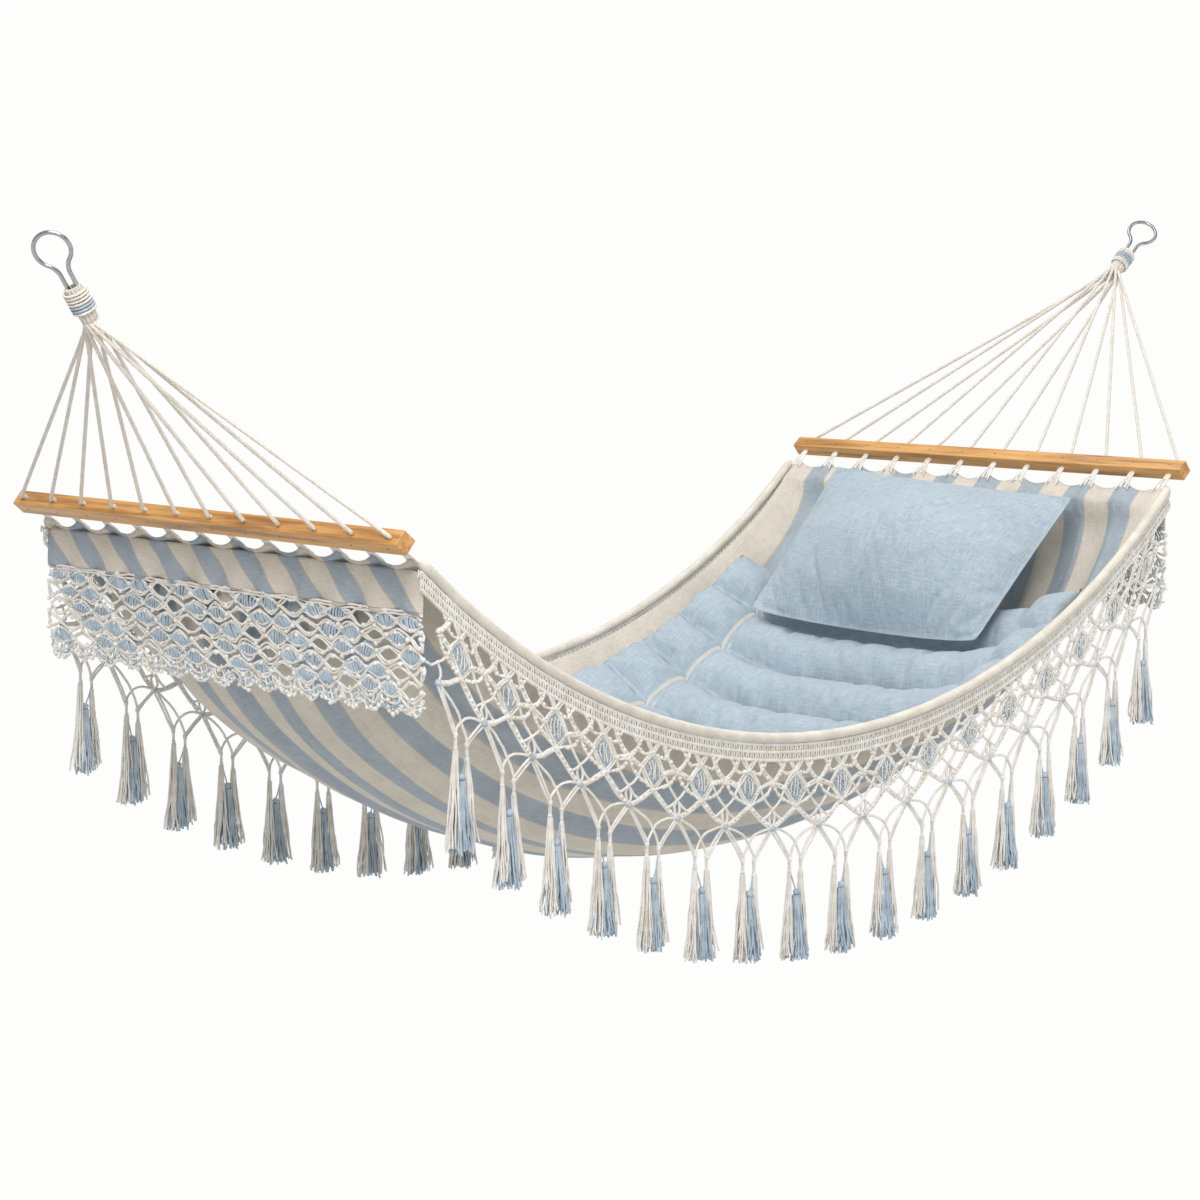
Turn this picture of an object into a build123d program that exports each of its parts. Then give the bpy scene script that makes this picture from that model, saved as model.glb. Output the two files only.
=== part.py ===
from build123d import *
import math
import os

# A spreader bar hammock, hanging empty from its two eyes. Sizes are in millimetres.
# X runs along the bed towards the pillow end, Y runs across the bed and Z is up.
# Shapes are worked out about the point midway between the two bars, on the line through
# their axes. At the end everything is moved so that the head eye's centre is the origin.
# The foot end is end -1 and the head end is end +1. The near side is side -1, the far side +1.

# The bed as it hangs
BAR_SPAN = 2000.0  # from one bar's axis to the other's
EDGE_SAG = 400.0  # lowest point of the side edges below the bars
EDGE_HALF_WIDTH = 490.0  # from the middle of the bed to the axis of a side binding
BELLY_DEPTH = 260.0  # lowest point of the cloth below its side edges
BELLY_FLATNESS = 2.6  # power of the belly's curve across the bed
BELLY_FULLNESS = 0.45  # power of the belly's curve along the bed
CLOTH_THICKNESS = 3.0
PLEAT_AT_ENDS = 8.0  # sag of the cloth between two loops, at the hems
PLEAT_AT_MIDDLE = 1.5
BED_STATIONS = 18  # spans along the bed between the hems, one for each channel of the pad

# Bars, their bores and their pins
BAR_LENGTH = 1000.0
BAR_SIDE = 28.0
BAR_EASE = 1.0  # chamfer on the bar's edges
CORD_COUNT = 12
CORD_END_MARGIN = 30.0  # from the end of the bar to the outermost bore
BORE_CLEARANCE = 0.3
PIN_DIAMETER = 3.0
PIN_CLEARANCE = 0.05
PIN_PROUD = 0.3

# Clews
CORD_DIAMETER = 7.0
FOOT_RUN = 270.0  # from the foot bar's axis out to the foot eye's centre
FOOT_RISE = 430.0
HEAD_RUN = 550.0
HEAD_RISE = 460.0
FAN_REACH = 17.0  # from the whipping to the corner where a cord fans out
FAN_BEND = 30.0
MOUTH_REACH = 11.0  # from the bar's face to the corner where a cord turns into its bore
MOUTH_BEND = 14.0
BUNDLE_GAP = 1.0  # between two cords in the whipping
SEAT_GAP = 0.3  # between soft pieces that lie on one another

# Steel eyes
EYE_BORE = 51.0
EYE_WIRE = 7.0
EYE_NECK_BEND = 30.0
EYE_TURN = 36.0  # turn of the eye's plane about its clew, in degrees

# Whippings
WHIPPING_START = 74.0  # from the eye's centre
WHIPPING_CORD = 5.0
WHIPPING_PITCH = 5.5
WHIPPING_TURNS = 7
CORD_TAIL = 4.0  # cord that shows above the whipping
LEG_INSET = 4.0  # from the eye's leg end to the whipping's lower end

# Loops that lace the bed to the bars
LOOP_CORD = 4.5
KNOT_DIAMETER = 15.0
KNOT_LENGTH = 9.0
KNOT_ROUND = 2.0
EYELET_REACH = 52.0  # from the bar's axis to an eyelet in the hem
EYELET_CLEARANCE = 2.0
HEM_REACH = 42.0  # from the bar's axis to the tips of the hem
HEM_SCALLOP = 14.0  # depth of the hem's scallops
HEM_RUN = 100.0  # from the bar's axis to the end of the straight hem

# Hanging flap under each hem and the knotted valance below it
FLAP_REACH = 66.0  # from the bar's axis, along the hem, to the flap
FLAP_HEIGHT = 78.0
FLAP_THICKNESS = 3.0
VALANCE_HALF_WIDTH = 468.0
VALANCE_HEIGHT = 150.0
VALANCE_SCALLOPS = 9
VALANCE_SCALLOP_DEPTH = 22.0
VALANCE_COLUMNS = 26
VALANCE_ROWS = 5
VALANCE_STRAND = 7.0

# Side bindings and side fringes
BINDING_DIAMETER = 20.0
BINDING_START = 54.0  # from the bar's axis to the end of a binding
NET_THICKNESS = 4.0
NET_MOTIFS = 17
NET_DROP = 203.0  # from the binding to the foot of a motif
NET_SHOULDER = 158.0  # drop of the net between two motifs
NET_CORNER_START = 60.0  # from the bar's axis to the start of the first motif
SLIT_HALF_WIDTH = 0.045  # share of a motif
SLIT_ROWS = ((6.0, 14.0), (19.0, 27.0))
SLIT_PLACES = (0.14, 0.38, 0.62, 0.86)

# Openings of one motif. Each corner is a share of the motif's width and a drop.
MOTIF_OPENINGS = (
    ((0.50, 38.0), (0.86, 68.0), (0.50, 98.0), (0.14, 68.0)),
    ((0.05, 34.0), (0.42, 34.0), (0.05, 64.0)),
    ((0.95, 34.0), (0.95, 64.0), (0.58, 34.0)),
    ((0.05, 74.0), (0.36, 100.0), (0.22, 108.0), (0.05, 122.0)),
    ((0.95, 74.0), (0.95, 122.0), (0.78, 108.0), (0.64, 100.0)),
    ((0.27, 112.0), (0.42, 128.0), (0.27, 144.0), (0.11, 128.0)),
    ((0.73, 112.0), (0.89, 128.0), (0.73, 144.0), (0.58, 128.0)),
    ((0.50, 138.0), (0.76, 160.0), (0.59, 196.0), (0.41, 196.0), (0.24, 160.0)),
)
MOTIF_FOOT = (0.38, 0.62)  # where the net's foot starts and ends

# Tassels
TASSEL_LENGTH = 168.0
TASSEL_YOKE = 6.0  # cord that the tassel swings on
TASSEL_STRAND_TOP = 5.0
TASSEL_STRAND_FOOT = 15.0
TASSEL_CORD = 3.5
TASSEL_HEAD = 13.0
TASSEL_HEAD_DROP = 50.0
TASSEL_SKIRT_TOP = 10.4
TASSEL_SKIRT_FOOT = 22.0
TASSEL_SPREAD = 15.0  # from the middle of a tassel to its outer strands, at the foot

# Quilted pad
PAD_FIRST_STATION = 2
PAD_LAST_STATION = 16
PAD_HALF_WIDTH = 440.0
PAD_PIPING = 330.0  # from the middle of the pad to its lengthwise seams
PAD_SEAM_THICKNESS = 38.0
PAD_CROWN = 95.0
PAD_PIPING_CROWN = 52.0
PAD_SIDE_CROWN = 64.0
PAD_BORDER = 20.0
PAD_CREST_START = 0.3  # share of a channel from its seam to its crest

# Pillow
PILLOW_LENGTH = 600.0
PILLOW_SETTLE = 2.0  # of the pillow, between the crests of the pad's channels
PILLOW_FOOT_REACH = 1740.0  # along the edge, from the foot bar's axis to the pillow
PILLOW_HEAD_REACH = 2080.0
PILLOW_CROWN = 120.0
PILLOW_RIM = 14.0
PILLOW_HEAD_LIFT = 60.0  # of the pillow's head seam above the cloth
PILLOW_SECTIONS = 8
PILLOW_ROUNDNESS = 2.4

half_span = BAR_SPAN / 2
end_slope = 2 * math.atan(EDGE_SAG / (half_span + HEM_RUN))
edge_radius = (half_span - HEM_RUN * math.cos(end_slope)) / math.sin(end_slope)
edge_length = 2 * HEM_RUN + 2 * edge_radius * end_slope
station_pitch = (edge_length - 2 * HEM_RUN) / BED_STATIONS
cord_pitch = (BAR_LENGTH - 2 * CORD_END_MARGIN) / (CORD_COUNT - 1)
cord_places = [(k - (CORD_COUNT - 1) / 2) * cord_pitch for k in range(CORD_COUNT)]
bundle_radius = (CORD_DIAMETER + BUNDLE_GAP) / (2 * math.sin(math.pi / CORD_COUNT))
whipping_length = WHIPPING_TURNS * WHIPPING_PITCH + WHIPPING_CORD
whipping_end = WHIPPING_START + whipping_length
whipping_radius = bundle_radius + CORD_DIAMETER / 2 + SEAT_GAP + WHIPPING_CORD / 2
eye_radius = (EYE_BORE + EYE_WIRE) / 2
leg_offset = bundle_radius - (CORD_DIAMETER + EYE_WIRE) / 2 - SEAT_GAP
loop_offset = CLOTH_THICKNESS / 2 + SEAT_GAP + LOOP_CORD / 2
cloth_half_width = EDGE_HALF_WIDTH - BINDING_DIAMETER / 2 - SEAT_GAP
net_rise = -(BINDING_DIAMETER / 2 + SEAT_GAP)
motif_pitch = (edge_length - 2 * HEM_RUN) / NET_MOTIFS


def clew_size(end):
    """Run and rise of one clew, from its bar to its eye."""
    return (FOOT_RUN, FOOT_RISE) if end < 0 else (HEAD_RUN, HEAD_RISE)


def slope_at(reach):
    """Slope of the side edge, in radians, at a distance along it from the foot bar."""
    return max(-end_slope, min(end_slope, (reach - HEM_RUN) / edge_radius - end_slope))


def bed_point(reach, across=0.0, rise=0.0):
    """A point at a distance along the side edge, across the bed and square off the edge."""
    slope = slope_at(reach)
    past = min(reach - HEM_RUN, 0.0) + max(reach - (edge_length - HEM_RUN), 0.0)
    x = edge_radius * math.sin(slope) + past * math.cos(slope) - rise * math.sin(slope)
    z = edge_radius * (1 - math.cos(slope)) - EDGE_SAG + past * math.sin(slope) + rise * math.cos(slope)
    return Vector(x, across, z)


def belly_at(reach, across):
    """Depth of the cloth below the line between the two side edges."""
    share = (reach - HEM_RUN) / (edge_length - 2 * HEM_RUN)
    lengthwise = math.sin(math.pi * share) ** BELLY_FULLNESS if 0 < share < 1 else 0.0
    return BELLY_DEPTH * lengthwise * (1 - abs(across / EDGE_HALF_WIDTH) ** BELLY_FLATNESS)


def pleat_at(reach):
    """Sag of the cloth between two loops, which fades towards the middle of the bed."""
    share = abs(2 * reach / edge_length - 1)
    return PLEAT_AT_MIDDLE + (PLEAT_AT_ENDS - PLEAT_AT_MIDDLE) * share**2


def between(start, finish, share):
    """The point at a share of the way between two points."""
    return start + (finish - start) * share


def tube(path, diameter):
    """A round tube along a path."""
    section = Plane(origin=path @ 0, z_dir=path % 0) * Circle(diameter / 2)
    return sweep(section, path=path)


def end_place(end):
    """Frame of one bar: X out of the bed along the hem, Z square off the hem."""
    return Location((end * half_span, 0, 0), (0, -end * math.degrees(end_slope), 0))


def bar(end):
    """Square wooden bar, bored for its cords and for the pins that hold them."""
    blank = chamfer(Box(BAR_SIDE, BAR_LENGTH, BAR_SIDE).edges(), BAR_EASE)
    bore = Rot(0, 90, 0) * Cylinder(CORD_DIAMETER / 2 + BORE_CLEARANCE, 2 * BAR_SIDE)
    pin_bore = Cylinder(PIN_DIAMETER / 2 + PIN_CLEARANCE, 2 * BAR_SIDE)
    bores = [Pos(0, place, 0) * bore for place in cord_places]
    bores += [Pos(0, place, 0) * pin_bore for place in cord_places]
    return [end_place(end) * (blank - bores)]


def bar_pins(end):
    """Pins driven through the bar and its cords, a little proud of both faces."""
    pin = Cylinder(PIN_DIAMETER / 2, BAR_SIDE + 2 * PIN_PROUD)
    return [end_place(end) * Pos(0, place, 0) * pin for place in cord_places]


def clew_axes(end):
    """The eye's centre, the way down to the bar and the square way in the plane Y = 0."""
    run, rise = clew_size(end)
    eye = Vector(end * (half_span + run), 0, rise)
    down = (Vector(end * half_span, 0, 0) - eye).normalized()
    return eye, down, Vector(0, 1, 0).cross(down)


def bundle_place(index):
    """Where a cord stands in the whipping, across the clew and square to it."""
    turn = math.pi * (1 - (2 * (index // 2) + 1) / CORD_COUNT)
    face = 1 if index % 2 == 0 else -1
    return bundle_radius * math.cos(turn), face * bundle_radius * math.sin(turn)


def clew_cord_path(end, index):
    """A cord from the whipping, out to its bore and through the bar."""
    eye, down, square = clew_axes(end)
    across, off = bundle_place(index)
    start = eye + Vector(0, across, 0) + square * off
    out = (end_place(end) * Pos(end, 0, 0)).position - end_place(end).position
    bore_centre = Vector(end * half_span, cord_places[index], 0)
    return FilletPolyline(
        start + down * (WHIPPING_START - CORD_TAIL),
        start + down * (whipping_end + FAN_REACH),
        bore_centre + out * (BAR_SIDE / 2 + MOUTH_REACH),
        bore_centre - out * (BAR_SIDE / 2),
        radius=[FAN_BEND, MOUTH_BEND],
    )


def clew_cords(end):
    """Twelve taut cords, each pierced by its pin."""
    pin_bore = Cylinder(PIN_DIAMETER / 2 + PIN_CLEARANCE, 2 * BAR_SIDE)
    cords = []
    for index, place in enumerate(cord_places):
        cord = tube(clew_cord_path(end, index), CORD_DIAMETER)
        cords.append(cord - end_place(end) * Pos(0, place, 0) * pin_bore)
    return cords


def clew_frame(end, turn=0.0):
    """Frame of one clew: Z down the clew from the eye's centre, X turned about it."""
    eye, down, _ = clew_axes(end)
    return Location(Plane(origin=eye, x_dir=(0, 1, 0), z_dir=down)) * Rot(0, 0, turn)


def ring(end):
    """Eye of bent steel wire, whose two legs run down into the whipping."""
    neck_x = leg_offset + EYE_NECK_BEND
    neck_z = math.sqrt((eye_radius + EYE_NECK_BEND) ** 2 - neck_x**2)
    side_x = neck_x * eye_radius / (eye_radius + EYE_NECK_BEND)
    side_z = neck_z * eye_radius / (eye_radius + EYE_NECK_BEND)
    bend = math.atan2(neck_z, neck_x) / 2
    mid_x = neck_x - EYE_NECK_BEND * math.cos(bend)
    mid_z = neck_z - EYE_NECK_BEND * math.sin(bend)
    leg_z = whipping_end - LEG_INSET
    path = Wire(
        [
            Line((-leg_offset, 0, leg_z), (-leg_offset, 0, neck_z)),
            ThreePointArc((-leg_offset, 0, neck_z), (-mid_x, 0, mid_z), (-side_x, 0, side_z)),
            ThreePointArc((-side_x, 0, side_z), (-eye_radius, 0, 0), (0, 0, -eye_radius)),
            ThreePointArc((0, 0, -eye_radius), (eye_radius, 0, 0), (side_x, 0, side_z)),
            ThreePointArc((side_x, 0, side_z), (mid_x, 0, mid_z), (leg_offset, 0, neck_z)),
            Line((leg_offset, 0, neck_z), (leg_offset, 0, leg_z)),
        ]
    )
    return [clew_frame(end, -EYE_TURN) * tube(path, EYE_WIRE)]


def biarc(start, start_way, finish, finish_way):
    """Two arcs that leave and arrive along the given ways and meet along one tangent."""
    chord = finish - start
    ways = start_way + finish_way
    square = 2 * (1 - start_way.dot(finish_way))
    turn = chord.dot(ways)
    reach = (math.sqrt(turn**2 + square * chord.dot(chord)) - turn) / square
    meeting = (start + start_way * reach + finish - finish_way * reach) / 2
    return [
        TangentArc(start, meeting, tangent=start_way),
        TangentArc(finish, meeting, tangent=finish_way * -1, tangent_from_first=True),
    ]


def winding_point(turn):
    """A point on the whipping's winding and the winding's way there, after some turns."""
    angle = 2 * math.pi * turn
    lead = WHIPPING_PITCH / (2 * math.pi * whipping_radius)
    point = Vector(
        whipping_radius * math.cos(angle),
        whipping_radius * math.sin(angle),
        WHIPPING_START + WHIPPING_CORD / 2 + WHIPPING_PITCH * turn,
    )
    return point, Vector(-math.sin(angle), math.cos(angle), lead).normalized()


def whipping(end):
    """One cord wound round the clew cords and the eye's legs."""
    edges = []
    for quarter in range(4 * WHIPPING_TURNS):
        start, start_way = winding_point(quarter / 4)
        finish, finish_way = winding_point((quarter + 1) / 4)
        edges += biarc(start, start_way, finish, finish_way)
    return [clew_frame(end) * tube(Wire(edges), WHIPPING_CORD)]


def bed_loops(end):
    """Loops through the eyelets of the hem, each closed by a knot under the bar."""
    loops = []
    knot_start = BAR_SIDE / 2
    bend = EYELET_REACH - loop_offset
    knot = fillet(Cylinder(KNOT_DIAMETER / 2, KNOT_LENGTH).edges(), KNOT_ROUND)
    knot = Pos(knot_start + KNOT_LENGTH / 2, 0, 0) * Rot(0, 90, 0) * knot
    leg_start = knot_start + KNOT_LENGTH / 2
    path = Wire(
        [
            Line((leg_start, 0, loop_offset), (bend, 0, loop_offset)),
            ThreePointArc((bend, 0, loop_offset), (EYELET_REACH, 0, 0), (bend, 0, -loop_offset)),
            Line((bend, 0, -loop_offset), (leg_start, 0, -loop_offset)),
        ]
    )
    loop = knot + tube(path, LOOP_CORD)
    facing = Rot(0, 0, 0) if end < 0 else Rot(0, 0, 180)
    for place in cord_places:
        loops.append(end_place(end) * Pos(0, place, 0) * facing * loop)
    return loops


def cloth_section(reach):
    """Closed outline of the cloth at one place along the bed, sagging between its loops."""
    edges = []
    half = CLOTH_THICKNESS / 2
    sag = pleat_at(reach)
    places = [-cloth_half_width] + cord_places + [cloth_half_width]
    for face in (half, -half):
        for left, right in zip(places, places[1:]):
            start = bed_point(reach, left, face - belly_at(reach, left))
            finish = bed_point(reach, right, face - belly_at(reach, right))
            if left in cord_places and right in cord_places:
                middle = (left + right) / 2
                low = bed_point(reach, middle, face - belly_at(reach, middle) - sag)
                edges.append(ThreePointArc(start, low, finish))
            else:
                edges.append(Line(start, finish))
    for side in (-cloth_half_width, cloth_half_width):
        depth = belly_at(reach, side)
        edges.append(Line(bed_point(reach, side, half - depth), bed_point(reach, side, -half - depth)))
    return make_face(Wire(edges))


def bed_cloth():
    """The striped bed, with scalloped hems and an eyelet for each loop."""
    reaches = [HEM_REACH]
    reaches += [HEM_RUN + station_pitch * k for k in range(BED_STATIONS + 1)]
    reaches += [edge_length - HEM_REACH]
    cloth = loft([cloth_section(reach) for reach in reaches], ruled=True)
    half_gap = (cord_pitch - KNOT_DIAMETER) / 2
    round_radius = (half_gap**2 + HEM_SCALLOP**2) / (2 * HEM_SCALLOP)
    scallop = Cylinder(round_radius, BAR_SIDE)
    eyelet = Cylinder(LOOP_CORD / 2 + EYELET_CLEARANCE, BAR_SIDE)
    scallop_reach = HEM_REACH + HEM_SCALLOP - round_radius
    cuts = []
    for end in (-1, 1):
        for place in cord_places:
            cuts.append(end_place(end) * Pos(-end * EYELET_REACH, place, 0) * eyelet)
        for place in cord_places[:-1]:
            cuts.append(end_place(end) * Pos(-end * scallop_reach, place + cord_pitch / 2, 0) * scallop)
    return [cloth - cuts]


def binding(side):
    """Rolled edge of the bed, from one hem to the other."""
    first = bed_point(BINDING_START, side * EDGE_HALF_WIDTH)
    arc_start = bed_point(HEM_RUN, side * EDGE_HALF_WIDTH)
    arc_middle = bed_point(edge_length / 2, side * EDGE_HALF_WIDTH)
    arc_end = bed_point(edge_length - HEM_RUN, side * EDGE_HALF_WIDTH)
    last = bed_point(edge_length - BINDING_START, side * EDGE_HALF_WIDTH)
    path = Wire([Line(first, arc_start), ThreePointArc(arc_start, arc_middle, arc_end), Line(arc_end, last)])
    return [tube(path, BINDING_DIAMETER)]


def flap_corner(end):
    """Top of the hanging flap, just under the hem's lowest pleats."""
    reach = FLAP_REACH if end < 0 else edge_length - FLAP_REACH
    drop = CLOTH_THICKNESS / 2 + pleat_at(reach) + SEAT_GAP
    corner = bed_point(reach, 0, -drop)
    return corner.X, corner.Z - FLAP_THICKNESS / 2 * math.tan(end_slope)


def hem_flap(end):
    """Striped flap that hangs from the hem."""
    x, top = flap_corner(end)
    flap = Box(FLAP_THICKNESS, 2 * VALANCE_HALF_WIDTH, FLAP_HEIGHT)
    return [Pos(x, 0, top - FLAP_HEIGHT / 2) * flap]


def valance_outline():
    """Valance with a scalloped foot, flat in the plane of Y and Z, hung from Z = 0."""
    scallop_width = 2 * VALANCE_HALF_WIDTH / VALANCE_SCALLOPS
    shoulder = -(VALANCE_HEIGHT - VALANCE_SCALLOP_DEPTH)
    edges = [Line((-VALANCE_HALF_WIDTH, shoulder), (-VALANCE_HALF_WIDTH, 0))]
    edges.append(Line((-VALANCE_HALF_WIDTH, 0), (VALANCE_HALF_WIDTH, 0)))
    edges.append(Line((VALANCE_HALF_WIDTH, 0), (VALANCE_HALF_WIDTH, shoulder)))
    for k in range(VALANCE_SCALLOPS):
        left = -VALANCE_HALF_WIDTH + k * scallop_width
        low = (left + scallop_width / 2, -VALANCE_HEIGHT)
        edges.append(ThreePointArc((left, shoulder), low, (left + scallop_width, shoulder)))
    return make_face(Wire(edges))


def valance_net(end):
    """Knotted valance with a lattice of diamond openings, hung from the flap."""
    column = 2 * (VALANCE_HALF_WIDTH - VALANCE_STRAND / 2) / VALANCE_COLUMNS
    row = (VALANCE_HEIGHT - VALANCE_SCALLOP_DEPTH - VALANCE_STRAND) / VALANCE_ROWS
    half_wide = (column - VALANCE_STRAND) / 2
    half_high = (row - VALANCE_STRAND) / 2
    corners = [(-half_wide, 0), (0, half_high), (half_wide, 0), (0, -half_high)]
    diamond = make_face(Polyline(*corners, close=True))
    net = valance_outline()
    openings = []
    for line in range(VALANCE_ROWS):
        count = VALANCE_COLUMNS if line % 2 == 0 else VALANCE_COLUMNS - 1
        for k in range(count):
            y = (k - (count - 1) / 2) * column
            z = -VALANCE_STRAND - row * (line + 0.5)
            openings.append(Pos(y, z, 0) * diamond)
    net -= openings
    x, top = flap_corner(end)
    upright = Plane(origin=(x - FLAP_THICKNESS / 2, 0, top - FLAP_HEIGHT), x_dir=(0, 1, 0), z_dir=(1, 0, 0))
    return [extrude(upright * net, FLAP_THICKNESS)]


def net_point(motif, drop):
    """A point of the side net: a place along the binding, counted in motifs, and a drop."""
    place = bed_point(HEM_RUN + motif * motif_pitch, 0, net_rise)
    return Vector(place.X, place.Z - drop, 0)


def motif_outline(index):
    """Outer edge of one motif of the side net, in the plane of X and Z."""
    top = [net_point(index, 0), net_point(index + 0.5, 0), net_point(index + 1, 0)]
    right_shoulder = net_point(index + 1, NET_SHOULDER)
    right_foot = net_point(index + MOTIF_FOOT[1], NET_DROP)
    left_foot = net_point(index + MOTIF_FOOT[0], NET_DROP)
    left_shoulder = net_point(index, NET_SHOULDER)
    edges = [
        ThreePointArc(*top),
        Line(right_shoulder, right_foot),
        Line(right_foot, left_foot),
        Line(left_foot, left_shoulder),
    ]
    corner_share = (HEM_RUN - NET_CORNER_START) / motif_pitch
    if index == 0:
        corner = net_point(-corner_share, 0)
        edges += [Line(left_shoulder, corner), Line(corner, top[0])]
    else:
        edges.append(Line(left_shoulder, top[0]))
    if index == NET_MOTIFS - 1:
        corner = net_point(NET_MOTIFS + corner_share, 0)
        edges += [Line(top[2], corner), Line(corner, right_shoulder)]
    else:
        edges.append(Line(top[2], right_shoulder))
    return make_face(Wire(edges))


def motif_opening(index, corners):
    """One opening of a motif, sheared with the slope of the binding."""
    return make_face(Polyline(*[net_point(index + share, drop) for share, drop in corners], close=True))


def fringe_net(side):
    """Side net of motifs that meet face to face, each with its openings."""
    upright = Plane(origin=(0, side * EDGE_HALF_WIDTH + NET_THICKNESS / 2, 0), x_dir=(1, 0, 0), z_dir=(0, -1, 0))
    motifs = []
    for index in range(NET_MOTIFS):
        openings = [motif_opening(index, corners) for corners in MOTIF_OPENINGS]
        for high, low in SLIT_ROWS:
            for place in SLIT_PLACES:
                left = place - SLIT_HALF_WIDTH
                right = place + SLIT_HALF_WIDTH
                openings.append(motif_opening(index, ((left, high), (right, high), (right, low), (left, low))))
        motifs.append(extrude(upright * (motif_outline(index) - openings), NET_THICKNESS))
    return motifs


def tassel_axis(side, index):
    """Middle of a tassel's yoke, the yoke's way and its length."""
    left = net_point(index + MOTIF_FOOT[0], NET_DROP)
    right = net_point(index + MOTIF_FOOT[1], NET_DROP)
    way = (right - left).normalized()
    middle = (left + right) / 2 + Vector(way.Y, -way.X, 0) * (TASSEL_YOKE / 2 + SEAT_GAP)
    centre = Vector(middle.X, side * EDGE_HALF_WIDTH, middle.Y)
    return centre, Vector(way.X, 0, way.Y), (right - left).length


def tassel(side, index):
    """Two cream strand bundles and a blue tassel that swing on one yoke."""
    centre, way, length = tassel_axis(side, index)
    yoke = Location(Plane(origin=centre, x_dir=(0, 1, 0), z_dir=way)) * Cylinder(TASSEL_YOKE / 2, length)
    group = yoke
    for hand in (-1, 1):
        top = centre + way * hand * (length / 2 - TASSEL_STRAND_TOP / 2)
        foot = centre + Vector(hand * TASSEL_SPREAD, 0, -TASSEL_LENGTH)
        group += strand(top, foot, TASSEL_STRAND_TOP, TASSEL_STRAND_FOOT)
    head = centre - Vector(0, 0, TASSEL_HEAD_DROP)
    group += strand(centre, head, TASSEL_CORD, TASSEL_CORD)
    group += Pos(*head) * Sphere(TASSEL_HEAD / 2)
    group += strand(head, centre - Vector(0, 0, TASSEL_LENGTH), TASSEL_SKIRT_TOP, TASSEL_SKIRT_FOOT)
    return [group]


def strand(top, foot, top_diameter, foot_diameter):
    """A straight bundle that swells from one diameter to another."""
    drop = foot - top
    place = Location(Plane(origin=(top + foot) / 2, z_dir=drop.normalized()))
    if top_diameter == foot_diameter:
        return place * Cylinder(top_diameter / 2, drop.length)
    return place * Cone(top_diameter / 2, foot_diameter / 2, drop.length)


def pad_floor(station, share, across):
    """A point on the pad's underside, which lies on the cloth between two stations."""
    points = []
    for number in (station, station + 1):
        reach = HEM_RUN + station_pitch * number
        lift = CLOTH_THICKNESS / 2 + SEAT_GAP
        points.append(bed_point(reach, across, lift - belly_line(reach, across)))
    slope = slope_at(HEM_RUN + station_pitch * (station + share))
    way = Vector(math.cos(slope), 0, math.sin(slope))
    edge_centre = Vector(0, 0, edge_radius - EDGE_SAG)
    reach_share = (edge_centre - points[0]).dot(way) / (points[1] - points[0]).dot(way)
    return between(points[0], points[1], reach_share)


def belly_line(reach, across):
    """Depth of the cloth on the straight line between the two loops on either side."""
    for left, right in zip(cord_places, cord_places[1:]):
        if left <= across <= right:
            share = (across - left) / (right - left)
            return belly_at(reach, left) * (1 - share) + belly_at(reach, right) * share
    return belly_at(reach, across)


def pad_top(station, share, across, thickness):
    """A point on the pad's top, square off the edge line from the smooth belly."""
    reach = HEM_RUN + station_pitch * (station + share)
    return bed_point(reach, across, CLOTH_THICKNESS / 2 + SEAT_GAP + thickness - belly_at(reach, across))


def pad_section(station, share, crest):
    """Outline of the pad at one place: full on a channel's crest, thin on its seam."""
    crown = PAD_CROWN if crest else PAD_SEAM_THICKNESS
    piping = PAD_PIPING_CROWN if crest else PAD_SEAM_THICKNESS
    side_crown = PAD_SIDE_CROWN if crest else PAD_SEAM_THICKNESS
    inner = [place for place in cord_places if abs(place) < PAD_HALF_WIDTH]
    floor = [pad_floor(station, share, place) for place in [-PAD_HALF_WIDTH] + inner + [PAD_HALF_WIDTH]]
    edges = [Line(left, right) for left, right in zip(floor, floor[1:])]
    middle = (PAD_PIPING + PAD_HALF_WIDTH) / 2
    rims = [pad_top(station, share, hand * PAD_HALF_WIDTH, PAD_BORDER) for hand in (-1, 1)]
    seams = [pad_top(station, share, hand * PAD_PIPING, piping) for hand in (-1, 1)]
    flanks = [pad_top(station, share, hand * middle, side_crown) for hand in (-1, 1)]
    edges += [
        Line(floor[-1], rims[1]),
        ThreePointArc(rims[1], flanks[1], seams[1]),
        ThreePointArc(seams[1], pad_top(station, share, 0, crown), seams[0]),
        ThreePointArc(seams[0], flanks[0], rims[0]),
        Line(rims[0], floor[0]),
    ]
    return make_face(Wire(edges))


def quilted_pad():
    """Quilted pad with crosswise channels and two lengthwise seams."""
    sections = []
    for station in range(PAD_FIRST_STATION, PAD_LAST_STATION):
        sections.append(pad_section(station, 0.0, False))
        sections.append(pad_section(station, PAD_CREST_START, True))
        sections.append(pad_section(station, 1 - PAD_CREST_START, True))
    sections.append(pad_section(PAD_LAST_STATION - 1, 1.0, False))
    return [loft(sections, ruled=True)]


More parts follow.
